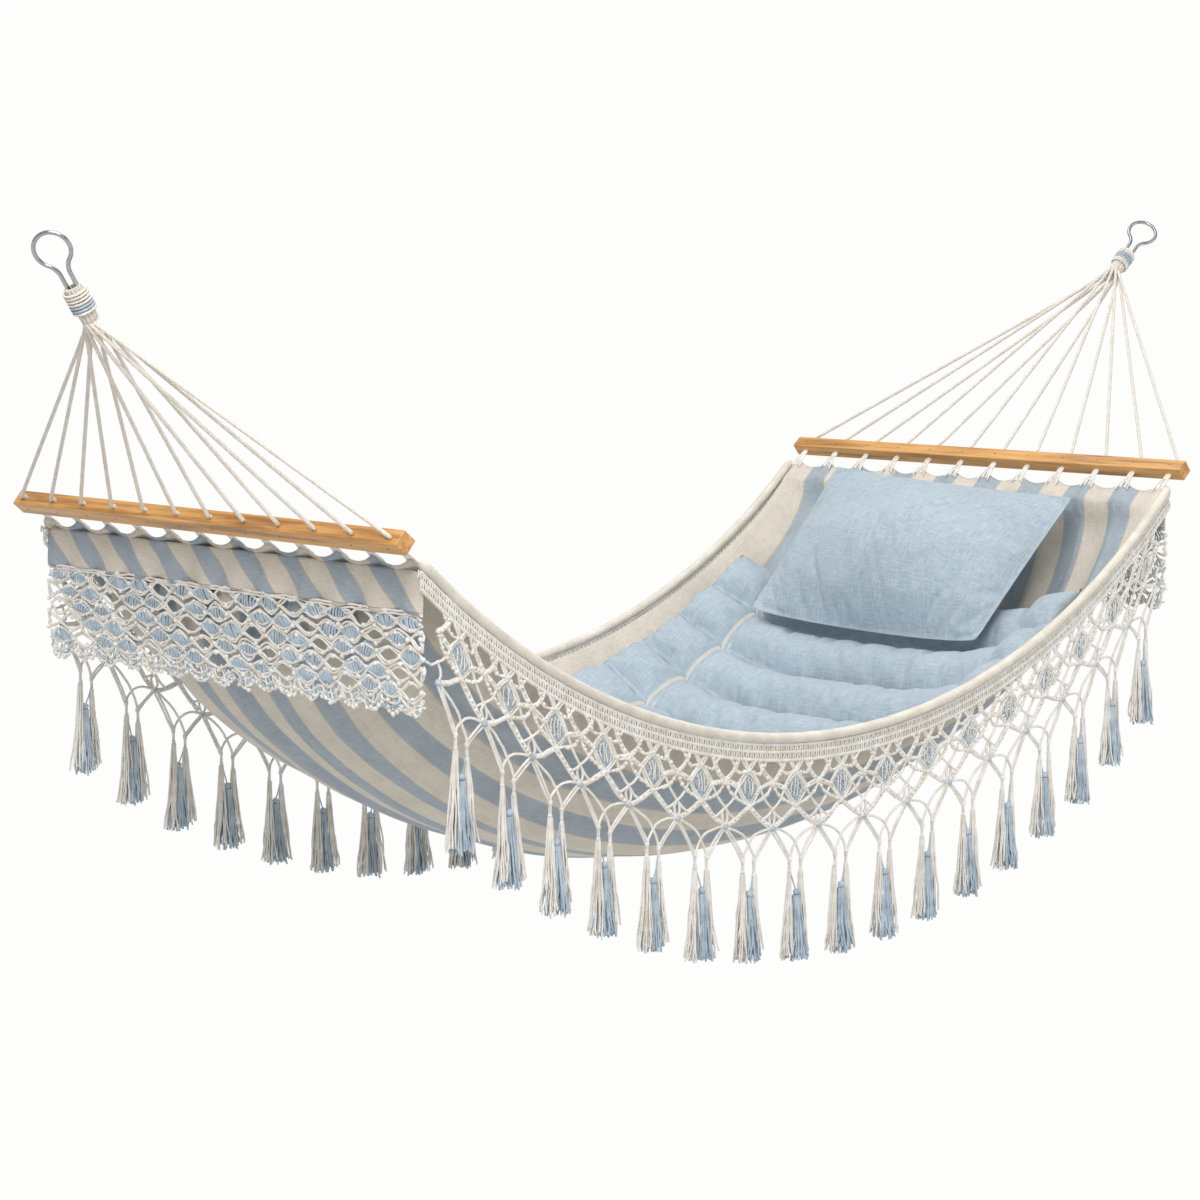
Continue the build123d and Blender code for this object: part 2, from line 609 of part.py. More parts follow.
def pillow_section(across):
    """Outline of the pillow in one plane of X and Z, lying on the pad and on the cloth."""
    share = min(1.0, abs(2 * across / PILLOW_LENGTH))
    fullness = math.sqrt(1 - share**PILLOW_ROUNDNESS)
    lift = CLOTH_THICKNESS / 2 + 2 * SEAT_GAP
    pad_end = HEM_RUN + station_pitch * PAD_LAST_STATION
    on_pad = lift + PAD_CROWN - PILLOW_SETTLE
    foot = bed_point(PILLOW_FOOT_REACH, across, on_pad - belly_at(PILLOW_FOOT_REACH, across))
    step = bed_point(pad_end, across, on_pad - belly_at(pad_end, across))
    head = bed_point(
        PILLOW_HEAD_REACH, across, lift + PILLOW_HEAD_LIFT - belly_at(PILLOW_HEAD_REACH, across)
    )
    middle = between(foot, head, 0.5)
    way = (head - foot).normalized()
    square = Vector(-way.Z, 0, way.X)
    bulge = (step - middle).dot(square)
    crown = middle + square * (max(bulge, 0.0) + PILLOW_RIM + (PILLOW_CROWN - PILLOW_RIM) * fullness)
    return make_face(Wire([Line(foot, step), Line(step, head), ThreePointArc(head, crown, foot)]))


def pillow():
    """Pillow that swells from its seamed rim to its crown."""
    places = [PILLOW_LENGTH * (k / PILLOW_SECTIONS - 0.5) for k in range(PILLOW_SECTIONS + 1)]
    return [loft([pillow_section(place) for place in places], ruled=True)]


def node_name(side, kind):
    """Name of a piece that both sides of the bed have."""
    return ("near_" if side < 0 else "far_") + kind


def all_nodes():
    """Every node's name with its solids, about the point midway between the bars."""
    nodes = {}
    for end, name in ((-1, "foot"), (1, "head")):
        nodes[name + "_ring"] = ring(end)
        nodes[name + "_whipping"] = whipping(end)
        nodes[name + "_clew_cords"] = clew_cords(end)
        nodes[name + "_spreader_bar"] = bar(end)
        nodes[name + "_bar_pins"] = bar_pins(end)
        nodes[name + "_bed_loops"] = bed_loops(end)
        nodes[name + "_hem_flap"] = hem_flap(end)
        nodes[name + "_valance_net"] = valance_net(end)
    nodes["bed_cloth"] = bed_cloth()
    nodes["quilted_pad"] = quilted_pad()
    nodes["pillow"] = pillow()
    for side in (-1, 1):
        nodes[node_name(side, "edge_binding")] = binding(side)
        nodes[node_name(side, "fringe_net")] = fringe_net(side)
        for index in range(NET_MOTIFS):
            nodes[node_name(side, f"tassel_{index + 1:02d}")] = tassel(side, index)
    return nodes


def winding_gap():
    """Least gap of the winding to itself, measured between points one turn or more apart."""
    steps = 48
    points = [winding_point(k / steps)[0] for k in range(WHIPPING_TURNS * steps + 1)]
    least = min(
        (points[low] - points[high]).length
        for low in range(steps)
        for high in range(low + steps * 3 // 4, len(points))
    )
    return least - WHIPPING_CORD


def main():
    os.makedirs("parts", exist_ok=True)
    origin = Pos(*(clew_axes(1)[0] * -1))
    for name, solids in all_nodes().items():
        placed = [origin * solid for solid in solids]
        export_step(Compound(children=placed) if len(placed) > 1 else placed[0], f"parts/{name}.step")
    print(f"edge slope at the bars {math.degrees(end_slope):.1f} degrees, edge length {edge_length:.0f} mm")
    print(f"least gap of a whipping to itself {winding_gap():.2f} mm")


main()
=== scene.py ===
import math
import random

import bmesh
import bpy
from mathutils import Matrix, Vector, noise


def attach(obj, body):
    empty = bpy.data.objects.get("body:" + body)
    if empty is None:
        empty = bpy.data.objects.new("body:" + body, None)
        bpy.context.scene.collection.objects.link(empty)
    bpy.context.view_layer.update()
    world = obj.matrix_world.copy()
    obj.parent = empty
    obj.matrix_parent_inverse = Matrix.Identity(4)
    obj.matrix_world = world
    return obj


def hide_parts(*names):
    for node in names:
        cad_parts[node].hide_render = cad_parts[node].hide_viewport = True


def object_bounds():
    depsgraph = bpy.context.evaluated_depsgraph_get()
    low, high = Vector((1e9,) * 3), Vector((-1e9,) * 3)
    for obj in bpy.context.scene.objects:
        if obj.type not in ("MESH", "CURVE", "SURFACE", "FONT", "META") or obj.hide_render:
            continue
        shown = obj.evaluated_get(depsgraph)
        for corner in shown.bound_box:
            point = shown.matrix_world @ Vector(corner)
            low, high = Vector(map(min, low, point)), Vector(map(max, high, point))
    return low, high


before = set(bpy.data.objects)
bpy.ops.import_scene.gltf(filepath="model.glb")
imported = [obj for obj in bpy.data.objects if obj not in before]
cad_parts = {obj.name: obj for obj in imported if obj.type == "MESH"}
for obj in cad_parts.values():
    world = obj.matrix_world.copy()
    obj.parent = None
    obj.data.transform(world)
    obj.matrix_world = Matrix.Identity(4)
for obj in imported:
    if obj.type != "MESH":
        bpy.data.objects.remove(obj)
cad_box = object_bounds()

# Sizes of the hammock in metres. Shapes are worked out about the point midway between the
# bars, as it hangs, and HEAD_EYE moves them to the frame whose origin is the head's eye.
HEAD_EYE = Vector((1.55, 0.0, 0.46))
HALF_SPAN = 1.0
EDGE_SAG = 0.4
HEM_RUN = 0.1
EDGE_HALF_WIDTH = 0.49
CLOTH_HALF_WIDTH = 0.4797
BELLY_DEPTH = 0.26
BELLY_FULLNESS = 0.45  # power of the belly's curve along the bed
BELLY_FLATNESS = 2.6  # power of its curve across
CORD_PITCH = 0.94 / 11
CORD_PLACES = [(k - 5.5) * CORD_PITCH for k in range(12)]
NET_MOTIFS = 17
NET_FOOT = 0.203
MOTIF_FEET = (0.38, 0.62)  # where a motif's two feet are, as shares of it
TASSEL_LENGTH = 0.168
PAD_PIPING = 0.33  # from the middle of the pad to its lengthwise seams
STRIPE_PERIOD = 0.113
WHITE = (0.985, 0.985, 0.98, 1.0)

END_SLOPE = 2 * math.atan(EDGE_SAG / (HALF_SPAN + HEM_RUN))
EDGE_RADIUS = (HALF_SPAN - HEM_RUN * math.cos(END_SLOPE)) / math.sin(END_SLOPE)
EDGE_LENGTH = 2 * HEM_RUN + 2 * EDGE_RADIUS * END_SLOPE
STATION_PITCH = (EDGE_LENGTH - 2 * HEM_RUN) / 18
MOTIF_PITCH = (EDGE_LENGTH - 2 * HEM_RUN) / NET_MOTIFS


def slope_at(reach):
    """Slope of the side edge at a distance along it from the foot bar."""
    return max(-END_SLOPE, min(END_SLOPE, (reach - HEM_RUN) / EDGE_RADIUS - END_SLOPE))


def bed_point(reach, across=0.0, rise=0.0):
    """A point along the side edge, across the bed and square off the edge."""
    slope = slope_at(reach)
    past = min(reach - HEM_RUN, 0.0) + max(reach - (EDGE_LENGTH - HEM_RUN), 0.0)
    x = EDGE_RADIUS * math.sin(slope) + past * math.cos(slope) - rise * math.sin(slope)
    z = EDGE_RADIUS * (1 - math.cos(slope)) - EDGE_SAG + past * math.sin(slope) + rise * math.cos(
        slope
    )
    return Vector((x, across, z)) - HEAD_EYE


def belly_at(reach, across):
    """Depth of the cloth below the line between the two side edges."""
    share = (reach - HEM_RUN) / (EDGE_LENGTH - 2 * HEM_RUN)
    lengthwise = math.sin(math.pi * share) ** BELLY_FULLNESS if 0 < share < 1 else 0.0
    return BELLY_DEPTH * lengthwise * (1 - abs(across / EDGE_HALF_WIDTH) ** BELLY_FLATNESS)


def wander(x, y, z=0.0):
    """Smooth uneven value between about -1 and 1."""
    return noise.noise(Vector((x, y, z)))


# Making meshes


def new_object(name, data):
    """An object in the scene that shows the given data."""
    made = bpy.data.objects.new(name, data)
    bpy.context.scene.collection.objects.link(made)
    return made


def add_piece(name, mesh, body, replaced=()):
    """Put a finished mesh in the scene as a piece that rides on a body."""
    piece = new_object(name, mesh)
    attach(piece, body)
    if replaced:
        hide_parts(*replaced)
    return piece


def shell_mesh(name, rows, material, closed=False, uv=None):
    """A smooth mesh from rows of points, with the points' own places on the cloth as UV."""
    mesh = bpy.data.meshes.new(name)
    wide = len(rows[0])
    points = [point for row in rows for point in row]
    faces = []
    for i in range(len(rows) - 1):
        for j in range(wide if closed else wide - 1):
            right = (j + 1) % wide
            faces.append(
                (i * wide + j, i * wide + right, (i + 1) * wide + right, (i + 1) * wide + j)
            )
    mesh.from_pydata(points, [], faces)
    mesh.materials.append(material)
    mesh.polygons.foreach_set("use_smooth", [True] * len(faces))
    if uv:
        flat = [place for row in uv for place in row]
        layer = mesh.uv_layers.new(name="cloth")
        for loop in mesh.loops:
            layer.data[loop.index].uv = flat[loop.vertex_index]
    return mesh


def line_mesh(lines):
    """Edges of many polylines. Each line is its points, a radius and a tint from 0 to 1."""
    mesh = bpy.data.meshes.new("lines")
    points, edges, radii, tints = [], [], [], []
    for path, radius, tint in lines:
        first = len(points)
        points += path
        edges += [(first + k, first + k + 1) for k in range(len(path) - 1)]
        radii += [radius] * len(path)
        tints += [tint] * len(path)
    mesh.from_pydata(points, edges, [])
    mesh.attributes.new("radius_m", "FLOAT", "POINT").data.foreach_set("value", radii)
    mesh.attributes.new("tint", "FLOAT", "POINT").data.foreach_set("value", tints)
    return mesh


def new_tree(name, sockets):
    """An empty geometry tree with named inputs."""
    tree = bpy.data.node_groups.new(name, "GeometryNodeTree")
    tree.interface.new_socket("Geometry", in_out="INPUT", socket_type="NodeSocketGeometry")
    for label, kind, value in sockets:
        socket = tree.interface.new_socket(label, in_out="INPUT", socket_type="NodeSocket" + kind)
        if value is not None:
            socket.default_value = value
    tree.interface.new_socket("Geometry", in_out="OUTPUT", socket_type="NodeSocketGeometry")
    return tree, tree.nodes.new("NodeGroupInput"), tree.nodes.new("NodeGroupOutput")


def put(tree, kind, inputs=None, **settings):
    """Add a node, with its settings and with its inputs linked or set."""
    made = tree.nodes.new(kind)
    for key, value in settings.items():
        setattr(made, key, value)
    for key, value in (inputs or {}).items():
        if isinstance(value, bpy.types.NodeSocket):
            tree.links.new(value, made.inputs[key])
        else:
            made.inputs[key].default_value = value
    return made


def flow(tree, kind, inputs=None, **settings):
    """Add a node as put does, and return its first output."""
    return put(tree, kind, inputs, **settings).outputs[0]


def math_node(tree, operation, first, second=0.0):
    return flow(tree, "ShaderNodeMath", {0: first, 1: second}, operation=operation)


def vector_node(tree, operation, first, second=(0.0, 0.0, 0.0)):
    return flow(tree, "ShaderNodeVectorMath", {0: first, 1: second}, operation=operation)


def scaled(tree, vector, factor):
    return flow(tree, "ShaderNodeVectorMath", {0: vector, "Scale": factor}, operation="SCALE")


def named(tree, name):
    return flow(tree, "GeometryNodeInputNamedAttribute", {"Name": name}, data_type="FLOAT")


def scatter(tree, scale, detail, amount):
    """An uneven offset for each point, up to half the amount each way."""
    place = flow(tree, "GeometryNodeInputPosition")
    inputs = {"Vector": place, "Scale": scale, "Detail": detail}
    jitter = put(tree, "ShaderNodeTexNoise", inputs).outputs["Color"]
    return scaled(tree, vector_node(tree, "SUBTRACT", jitter, (0.5, 0.5, 0.5)), amount)


def painted(tree, mesh, given):
    """Cream all over, and blue where the tint asks for it."""
    mesh = flow(tree, "GeometryNodeSetMaterial", {0: mesh, "Material": given["Cream"]})
    tint = {0: named(tree, "tint"), 1: 0.5}
    is_blue = flow(tree, "FunctionNodeCompare", tint, operation="GREATER_THAN")
    inputs = {0: mesh, 1: is_blue, "Material": given["Blue"]}
    return flow(tree, "GeometryNodeSetMaterial", inputs)


def grown_mesh(name, tree, source, **values):
    """Run a geometry tree on a mesh and return the result as a plain mesh."""
    base = new_object(name, source)
    modifier = base.modifiers.new("grow", "NODES")
    modifier.node_group = tree
    for item in tree.interface.items_tree:
        if item.in_out == "INPUT" and item.name in values:
            modifier[item.identifier] = values[item.name]
    mesh = bpy.data.meshes.new_from_object(
        base.evaluated_get(bpy.context.evaluated_depsgraph_get())
    )
    mesh.name = name
    base.modifiers.remove(modifier)
    bpy.data.objects.remove(base)
    return mesh


# Shader groups that several materials share


def new_shader_group(name, inputs, outputs):
    group = bpy.data.node_groups.new(name, "ShaderNodeTree")
    for label, kind, value in inputs:
        socket = group.interface.new_socket(label, in_out="INPUT", socket_type="NodeSocket" + kind)
        socket.default_value = value
    for label, kind in outputs:
        group.interface.new_socket(label, in_out="OUTPUT", socket_type="NodeSocket" + kind)
    return group, group.nodes.new("NodeGroupInput").outputs, group.nodes.new(
        "NodeGroupOutput"
    ).inputs


def stretched(tree, vector, scale):
    return flow(tree, "ShaderNodeMapping", {"Vector": vector, "Scale": scale})


def noise_value(tree, vector, scale, detail=2.0, roughness=0.5):
    made = put(
        tree,
        "ShaderNodeTexNoise",
        {"Vector": vector, "Scale": scale, "Detail": detail, "Roughness": roughness},
    )
    return made.outputs["Fac"]


def remapped(tree, value, low, high, to_low=0.0, to_high=1.0):
    made = put(tree, "ShaderNodeMapRange", {0: value, 1: low, 2: high, 3: to_low, 4: to_high})
    return made.outputs[0]


def mixed(tree, factor, first, second, blend="MIX"):
    made = put(tree, "ShaderNodeMix", data_type="RGBA", blend_type=blend)
    for key, value in ((0, factor), (6, first), (7, second)):
        if isinstance(value, bpy.types.NodeSocket):
            tree.links.new(value, made.inputs[key])
        else:
            made.inputs[key].default_value = value if key == 0 else (*value, 1.0)
    return made.outputs[2]


def shaded(tree, colour, shade):
    """A colour darkened or lightened by a grey value."""
    grey = flow(tree, "ShaderNodeCombineColor", {0: shade, 1: shade, 2: shade})
    return mixed(tree, 1.0, colour, grey, "MULTIPLY")


def away_from(tree, value, other):
    return math_node(tree, "ABSOLUTE", math_node(tree, "SUBTRACT", value, other))


def make_cloth_weave():
    """Chambray threads: flecks along both thread ways, and a fine height."""
    group, inside, outside = new_shader_group(
        "cloth_weave",
        [("Place", "Vector", (0, 0, 0)), ("Threads", "Float", 600.0), ("Blotch", "Float", 9.0)],
        [("Fleck", "Float"), ("Patch", "Float"), ("Height", "Float")],
    )
    along = stretched(group, inside["Place"], (1.0, 0.09, 1.0))
    across = stretched(group, inside["Place"], (0.09, 1.0, 1.0))
    warp = noise_value(group, along, inside["Threads"], 1.0)
    weft = noise_value(group, across, inside["Threads"], 1.0)
    fleck = math_node(group, "ADD", warp, weft)
    group.links.new(remapped(group, fleck, 0.7, 1.3), outside["Fleck"])
    group.links.new(noise_value(group, inside["Place"], inside["Blotch"], 3.0), outside["Patch"])
    group.links.new(fleck, outside["Height"])
    return group


def make_yarn_fuzz():
    """Cotton yarn: soft shade changes and the fuzz of its fibres."""
    group, inside, outside = new_shader_group(
        "yarn_fuzz",
        [("Place", "Vector", (0, 0, 0)), ("Fibre", "Float", 900.0), ("Shade", "Float", 45.0)],
        [("Shade", "Float"), ("Height", "Float")],
    )
    fibre = noise_value(group, inside["Place"], inside["Fibre"], 2.0, 0.7)
    shade = noise_value(group, inside["Place"], inside["Shade"], 3.0, 0.6)
    blend = math_node(
        group,
        "ADD",
        math_node(group, "MULTIPLY", fibre, 0.45),
        math_node(group, "MULTIPLY", shade, 0.55),
    )
    group.links.new(remapped(group, blend, 0.36, 0.64), outside["Shade"])
    group.links.new(fibre, outside["Height"])
    return group


CLOTH_WEAVE = make_cloth_weave()
YARN_FUZZ = make_yarn_fuzz()


def new_material(name, roughness, metallic=0.0, sheen=0.0, coat=0.0):
    material = bpy.data.materials.new(name)
    material.use_nodes = True
    tree = material.node_tree
    shader = tree.nodes["Principled BSDF"]
    shader.inputs["Roughness"].default_value = roughness
    shader.inputs["Metallic"].default_value = metallic
    shader.inputs["Sheen Weight"].default_value = sheen
    shader.inputs["Coat Weight"].default_value = coat
    return material, tree, shader


def set_bump(tree, shader, height, strength, distance):
    bump = put(
        tree, "ShaderNodeBump", {"Height": height, "Strength": strength, "Distance": distance}
    )
    tree.links.new(bump.outputs[0], shader.inputs["Normal"])


def object_place(tree):
    return put(tree, "ShaderNodeTexCoord").outputs["Object"]


def yarn_material(name, dark, light, fibre=900.0):
    material, tree, shader = new_material(name, 0.92, sheen=0.15)
    fuzz = put(tree, "ShaderNodeGroup", node_tree=YARN_FUZZ)
    tree.links.new(object_place(tree), fuzz.inputs["Place"])
    fuzz.inputs["Fibre"].default_value = fibre
    tree.links.new(mixed(tree, fuzz.outputs["Shade"], dark, light), shader.inputs["Base Color"])
    set_bump(tree, shader, fuzz.outputs["Height"], 0.5, 0.0006)
    return material


CREAM_DARK, CREAM_LIGHT = (0.757, 0.691, 0.592), (0.97, 0.97, 0.966)
BLUE_DARK, BLUE_LIGHT = (0.34, 0.43, 0.52), (0.60, 0.70, 0.785)
cream_yarn = yarn_material("cream_yarn", CREAM_DARK, CREAM_LIGHT)
blue_yarn = yarn_material("blue_yarn", BLUE_DARK, BLUE_LIGHT)
clew_rope = yarn_material("clew_rope", (0.691, 0.633, 0.557), (0.853, 0.804, 0.743), 1400.0)


def stripe_of(tree, across, share, soft):
    """1 on the blue stripes of a striped cloth and 0 on the cream ones."""
    count = math_node(tree, "DIVIDE", across, STRIPE_PERIOD)
    phase = math_node(tree, "FRACT", math_node(tree, "ADD", count, 8.5 + share / 2))
    away = away_from(tree, phase, share / 2)
    return remapped(tree, away, share / 2 + soft, share / 2 - soft)


def woven_material(name, roughness, sheen, threads, blotch, bump):
    """A woven cloth, laid out by the UV of its mesh, that still has to get its colour."""
    material, tree, shader = new_material(name, roughness, sheen=sheen)
    place = flow(tree, "ShaderNodeUVMap", uv_map="cloth")
    inputs = {"Place": place, "Threads": threads, "Blotch": blotch}
    weave = put(tree, "ShaderNodeGroup", inputs, node_tree=CLOTH_WEAVE).outputs
    set_bump(tree, shader, weave["Height"], bump, 0.0006)
    return material, tree, shader, place, weave


def striped_material():
    """Blue and cream lengthwise stripes with a thin dark line where they meet."""
    material, tree, shader, place, weave = woven_material(
        "striped_cloth", 0.85, 0.1, 520.0, 14.0, 0.25
    )
    across, along, _ = put(tree, "ShaderNodeSeparateXYZ", {0: place}).outputs
    blue = mixed(tree, weave["Fleck"], (0.33, 0.39, 0.445), (0.455, 0.515, 0.57))
    cream = mixed(tree, weave["Fleck"], (0.66, 0.60, 0.515), (0.80, 0.74, 0.65))
    stripe = stripe_of(tree, across, 0.46, 0.012)
    wide = stripe_of(tree, across, 0.50, 0.008)
    colour = mixed(tree, stripe, cream, blue)
    edge = math_node(tree, "MULTIPLY", math_node(tree, "SUBTRACT", wide, stripe), 0.45)
    colour = mixed(tree, edge, colour, (0.30, 0.28, 0.25))
    hem_seam = remapped(tree, away_from(tree, along, 0.041), 0.0014, 0.0006, 0.0, 0.6)
    colour = mixed(tree, hem_seam, colour, (0.25, 0.24, 0.23))
    shade = remapped(tree, weave["Patch"], 0.3, 0.7, 0.86, 1.0)
    tree.links.new(shaded(tree, colour, shade), shader.inputs["Base Color"])
    return material


def quilt_material():
    """Light denim, paler on its flecks, with painted shade in its crosswise seams and a cream stripe along each
    lengthwise seam.
    """
    material, tree, shader, place, weave = woven_material("blue_quilt", 0.88, 0.2, 430.0, 7.0, 0.3)
    blue = mixed(tree, weave["Fleck"], (0.37, 0.465, 0.54), (0.52, 0.60, 0.665))
    blue = shaded(tree, blue, remapped(tree, weave["Patch"], 0.3, 0.7, 0.90, 1.03))
    across, along, _ = put(tree, "ShaderNodeSeparateXYZ", {0: place}).outputs
    # Painted shade: a thin darker blue line along each crosswise seam, where the puffs dip into it.
    station = math_node(tree, "SUBTRACT", along, HEM_RUN)
    station = math_node(tree, "DIVIDE", station, STATION_PITCH)
    seam = away_from(tree, station, math_node(tree, "ROUND", station))
    seam = remapped(tree, seam, 0.016, 0.004, 0.0, 0.55)
    blue = mixed(tree, seam, blue, (0.17, 0.235, 0.30))
    off = away_from(tree, math_node(tree, "ABSOLUTE", across), PAD_PIPING)
    outer, inner = remapped(tree, off, 0.0080, 0.0068), remapped(tree, off, 0.0034, 0.0046)
    line = math_node(tree, "MULTIPLY", outer, inner)
    cream = mixed(tree, weave["Fleck"], (0.66, 0.62, 0.55), (0.80, 0.77, 0.70))
    tree.links.new(mixed(tree, line, blue, cream), shader.inputs["Base Color"])
    return material


def pillow_material():
    """The pillow's light denim."""
    material, tree, shader, _, weave = woven_material("pillow_denim", 0.88, 0.2, 430.0, 5.0, 0.35)
    blue = mixed(tree, weave["Fleck"], (0.35, 0.445, 0.52), (0.53, 0.61, 0.675))
    blue = shaded(tree, blue, remapped(tree, weave["Patch"], 0.3, 0.7, 0.92, 1.02))
    tree.links.new(blue, shader.inputs["Base Color"])
    return material


def wood_material():
    """Amber varnished pine, its grain along the bar."""
    material, tree, shader = new_material("varnished_wood", 0.42, coat=0.12)
    place = object_place(tree)
    drawn = stretched(tree, place, (1.0, 0.045, 1.0))
    bands = noise_value(tree, drawn, 95.0, 4.0, 0.55)
    fine = noise_value(tree, stretched(tree, place, (1.0, 0.02, 1.0)), 900.0, 2.0)
    ramp = put(tree, "ShaderNodeValToRGB", {0: bands})
    stops = ramp.color_ramp.elements
    stops[0].position, stops[0].color = 0.36, (0.40, 0.18, 0.045, 1)
    stops[1].position, stops[1].color = 0.66, (0.80, 0.44, 0.15, 1)
    stops.new(0.50).color = (0.66, 0.335, 0.095, 1)
    pores = remapped(tree, fine, 0.30, 0.44, 0.72, 1.0)
    tree.links.new(shaded(tree, ramp.outputs[0], pores), shader.inputs["Base Color"])
    tree.links.new(remapped(tree, bands, 0.3, 0.7, 0.32, 0.48), shader.inputs["Roughness"])
    set_bump(tree, shader, fine, 0.15, 0.0004)
    return material


def steel_material(name, dark, light, roughness):
    """Drawn steel wire with faint marks."""
    material, tree, shader = new_material(name, roughness, metallic=1.0)
    place = object_place(tree)
    marks = noise_value(tree, place, 260.0, 4.0, 0.6)
    tree.links.new(
        mixed(tree, remapped(tree, marks, 0.35, 0.65), dark, light), shader.inputs["Base Color"]
    )
    tree.links.new(
        remapped(tree, marks, 0.3, 0.7, roughness - 0.06, roughness + 0.12),
        shader.inputs["Roughness"],
    )
    set_bump(tree, shader, marks, 0.03, 0.0002)
    return material


def rolled_material():
    """Cream cotton tape rolled round the edge, with faint lengthwise threads."""
    material, tree, shader = new_material("cream_rolled_tape", 0.9, sheen=0.15)
    place = object_place(tree)
    threads = noise_value(tree, stretched(tree, place, (0.25, 1.0, 1.0)), 700.0, 2.0)
    soft = noise_value(tree, place, 30.0, 3.0)
    tone = math_node(
        tree,
        "ADD",
        math_node(tree, "MULTIPLY", threads, 0.5),
        math_node(tree, "MULTIPLY", soft, 0.5),
    )
    tree.links.new(
        mixed(tree, remapped(tree, tone, 0.38, 0.62), (0.68, 0.62, 0.53), (0.84, 0.80, 0.72)), shader.inputs["Base Color"]
    )
    set_bump(tree, shader, threads, 0.35, 0.0007)
    return material


striped_cloth = striped_material()
cream_rolled = rolled_material()
blue_quilt = quilt_material()
pillow_denim = pillow_material()
varnished_wood = wood_material()
steel_wire = steel_material("steel_wire", (0.34, 0.345, 0.35), (0.47, 0.475, 0.48), 0.22)
pin_steel = steel_material("pin_steel", (0.10, 0.07, 0.05), (0.22, 0.16, 0.11), 0.5)

for end_name in ("foot", "head"):
    for node, material in (
        ("_spreader_bar", varnished_wood), ("_bar_pins", pin_steel), ("_ring", steel_wire)
    ):
        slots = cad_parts[end_name + node].data.materials
        slots.clear()
        slots.append(material)


# Geometry trees


def make_cord_tree(strands):
    """Cords along polylines. Each cord is one tube, or strands laid round each other."""
    tree, inside, outside = new_tree(
        f"cords_of_{strands}",
        [
            ("Step", "Float", 0.006),
            ("Sides", "Int", 6),
            ("Lay", "Float", 0.0),
            ("Pitch", "Float", 0.02),
            ("Wander", "Float", 0.0),
            ("Cream", "Material", None),
            ("Blue", "Material", None),
        ],
    )
    given = inside.outputs
    curve = flow(tree, "GeometryNodeMeshToCurve", {0: given["Geometry"]})
    curve = flow(tree, "GeometryNodeCurveSplineType", {0: curve}, spline_type="CATMULL_ROM")
    curve = flow(tree, "GeometryNodeSetSplineResolution", {0: curve, 2: 6})
    curve = flow(
        tree, "GeometryNodeResampleCurve", {0: curve, "Length": given["Step"]}, mode="LENGTH"
    )
    jitter = scatter(tree, 60.0, 1.0, given["Wander"])
    curve = flow(tree, "GeometryNodeSetPosition", {0: curve, "Offset": jitter})
    curve = flow(tree, "GeometryNodeSetCurveRadius", {0: curve, "Radius": named(tree, "radius_m")})
    profile = flow(tree, "GeometryNodeCurvePrimitiveCircle", {0: given["Sides"], "Radius": 1.0})
    joined = tree.nodes.new("GeometryNodeJoinGeometry")
    length = put(tree, "GeometryNodeSplineParameter").outputs["Length"]
    turn = math_node(
        tree, "MULTIPLY", math_node(tree, "DIVIDE", length, given["Pitch"]), 2 * math.pi
    )
    normal = flow(tree, "GeometryNodeInputNormal")
    other = vector_node(tree, "CROSS_PRODUCT", flow(tree, "GeometryNodeInputTangent"), normal)
    radius = named(tree, "radius_m")
    for k in range(strands):
        strand = curve
        if strands > 1:
            angle = math_node(tree, "ADD", turn, 2 * math.pi * k / strands)
            offset = vector_node(
                tree,
                "ADD",
                scaled(tree, normal, math_node(tree, "COSINE", angle)),
                scaled(tree, other, math_node(tree, "SINE", angle)),
            )
            offset = scaled(tree, scaled(tree, offset, radius), given["Lay"])
            strand = flow(tree, "GeometryNodeSetPosition", {0: curve, "Offset": offset})
        thick = flow(tree, "GeometryNodeInputRadius")
        mesh = put(
            tree, "GeometryNodeCurveToMesh", {
                0: strand, "Profile Curve": profile, "Scale": thick, "Fill Caps": True
            }
        ).outputs[0]
        tree.links.new(mesh, joined.inputs[0])
    mesh = flow(tree, "GeometryNodeSetShadeSmooth", {0: joined.outputs[0]})
    mesh = flow(tree, "GeometryNodeRealizeInstances", {0: mesh})
    tree.links.new(painted(tree, mesh, given), outside.inputs[0])
    return tree


def make_knot_tree():
    """A small uneven knot on each point, of the point's own radius and tint."""
    tree, inside, outside = new_tree(
        "knots", [("Cream", "Material", None), ("Blue", "Material", None)]
    )
    given = inside.outputs
    ball = flow(tree, "GeometryNodeMeshIcoSphere", {"Radius": 1.0, "Subdivisions": 2})
    turn = put(
        tree,
        "FunctionNodeRandomValue",
        {0: (0.0, 0.0, 0.0), 1: (6.28, 6.28, 6.28), "Seed": 4},
        data_type="FLOAT_VECTOR",
    )
    knots = put(
        tree,
        "GeometryNodeInstanceOnPoints",
        {
            0: given["Geometry"],
            "Instance": ball,
            "Rotation": turn.outputs[0],
            "Scale": named(tree, "radius_m"),
        },
    ).outputs[0]
    knots = flow(tree, "GeometryNodeRealizeInstances", {0: knots})
    bump = scatter(tree, 420.0, 0.0, 0.0035)
    knots = flow(tree, "GeometryNodeSetPosition", {0: knots, "Offset": bump})
    knots = flow(tree, "GeometryNodeSetShadeSmooth", {0: knots})
    tree.links.new(painted(tree, knots, given), outside.inputs[0])
    return tree


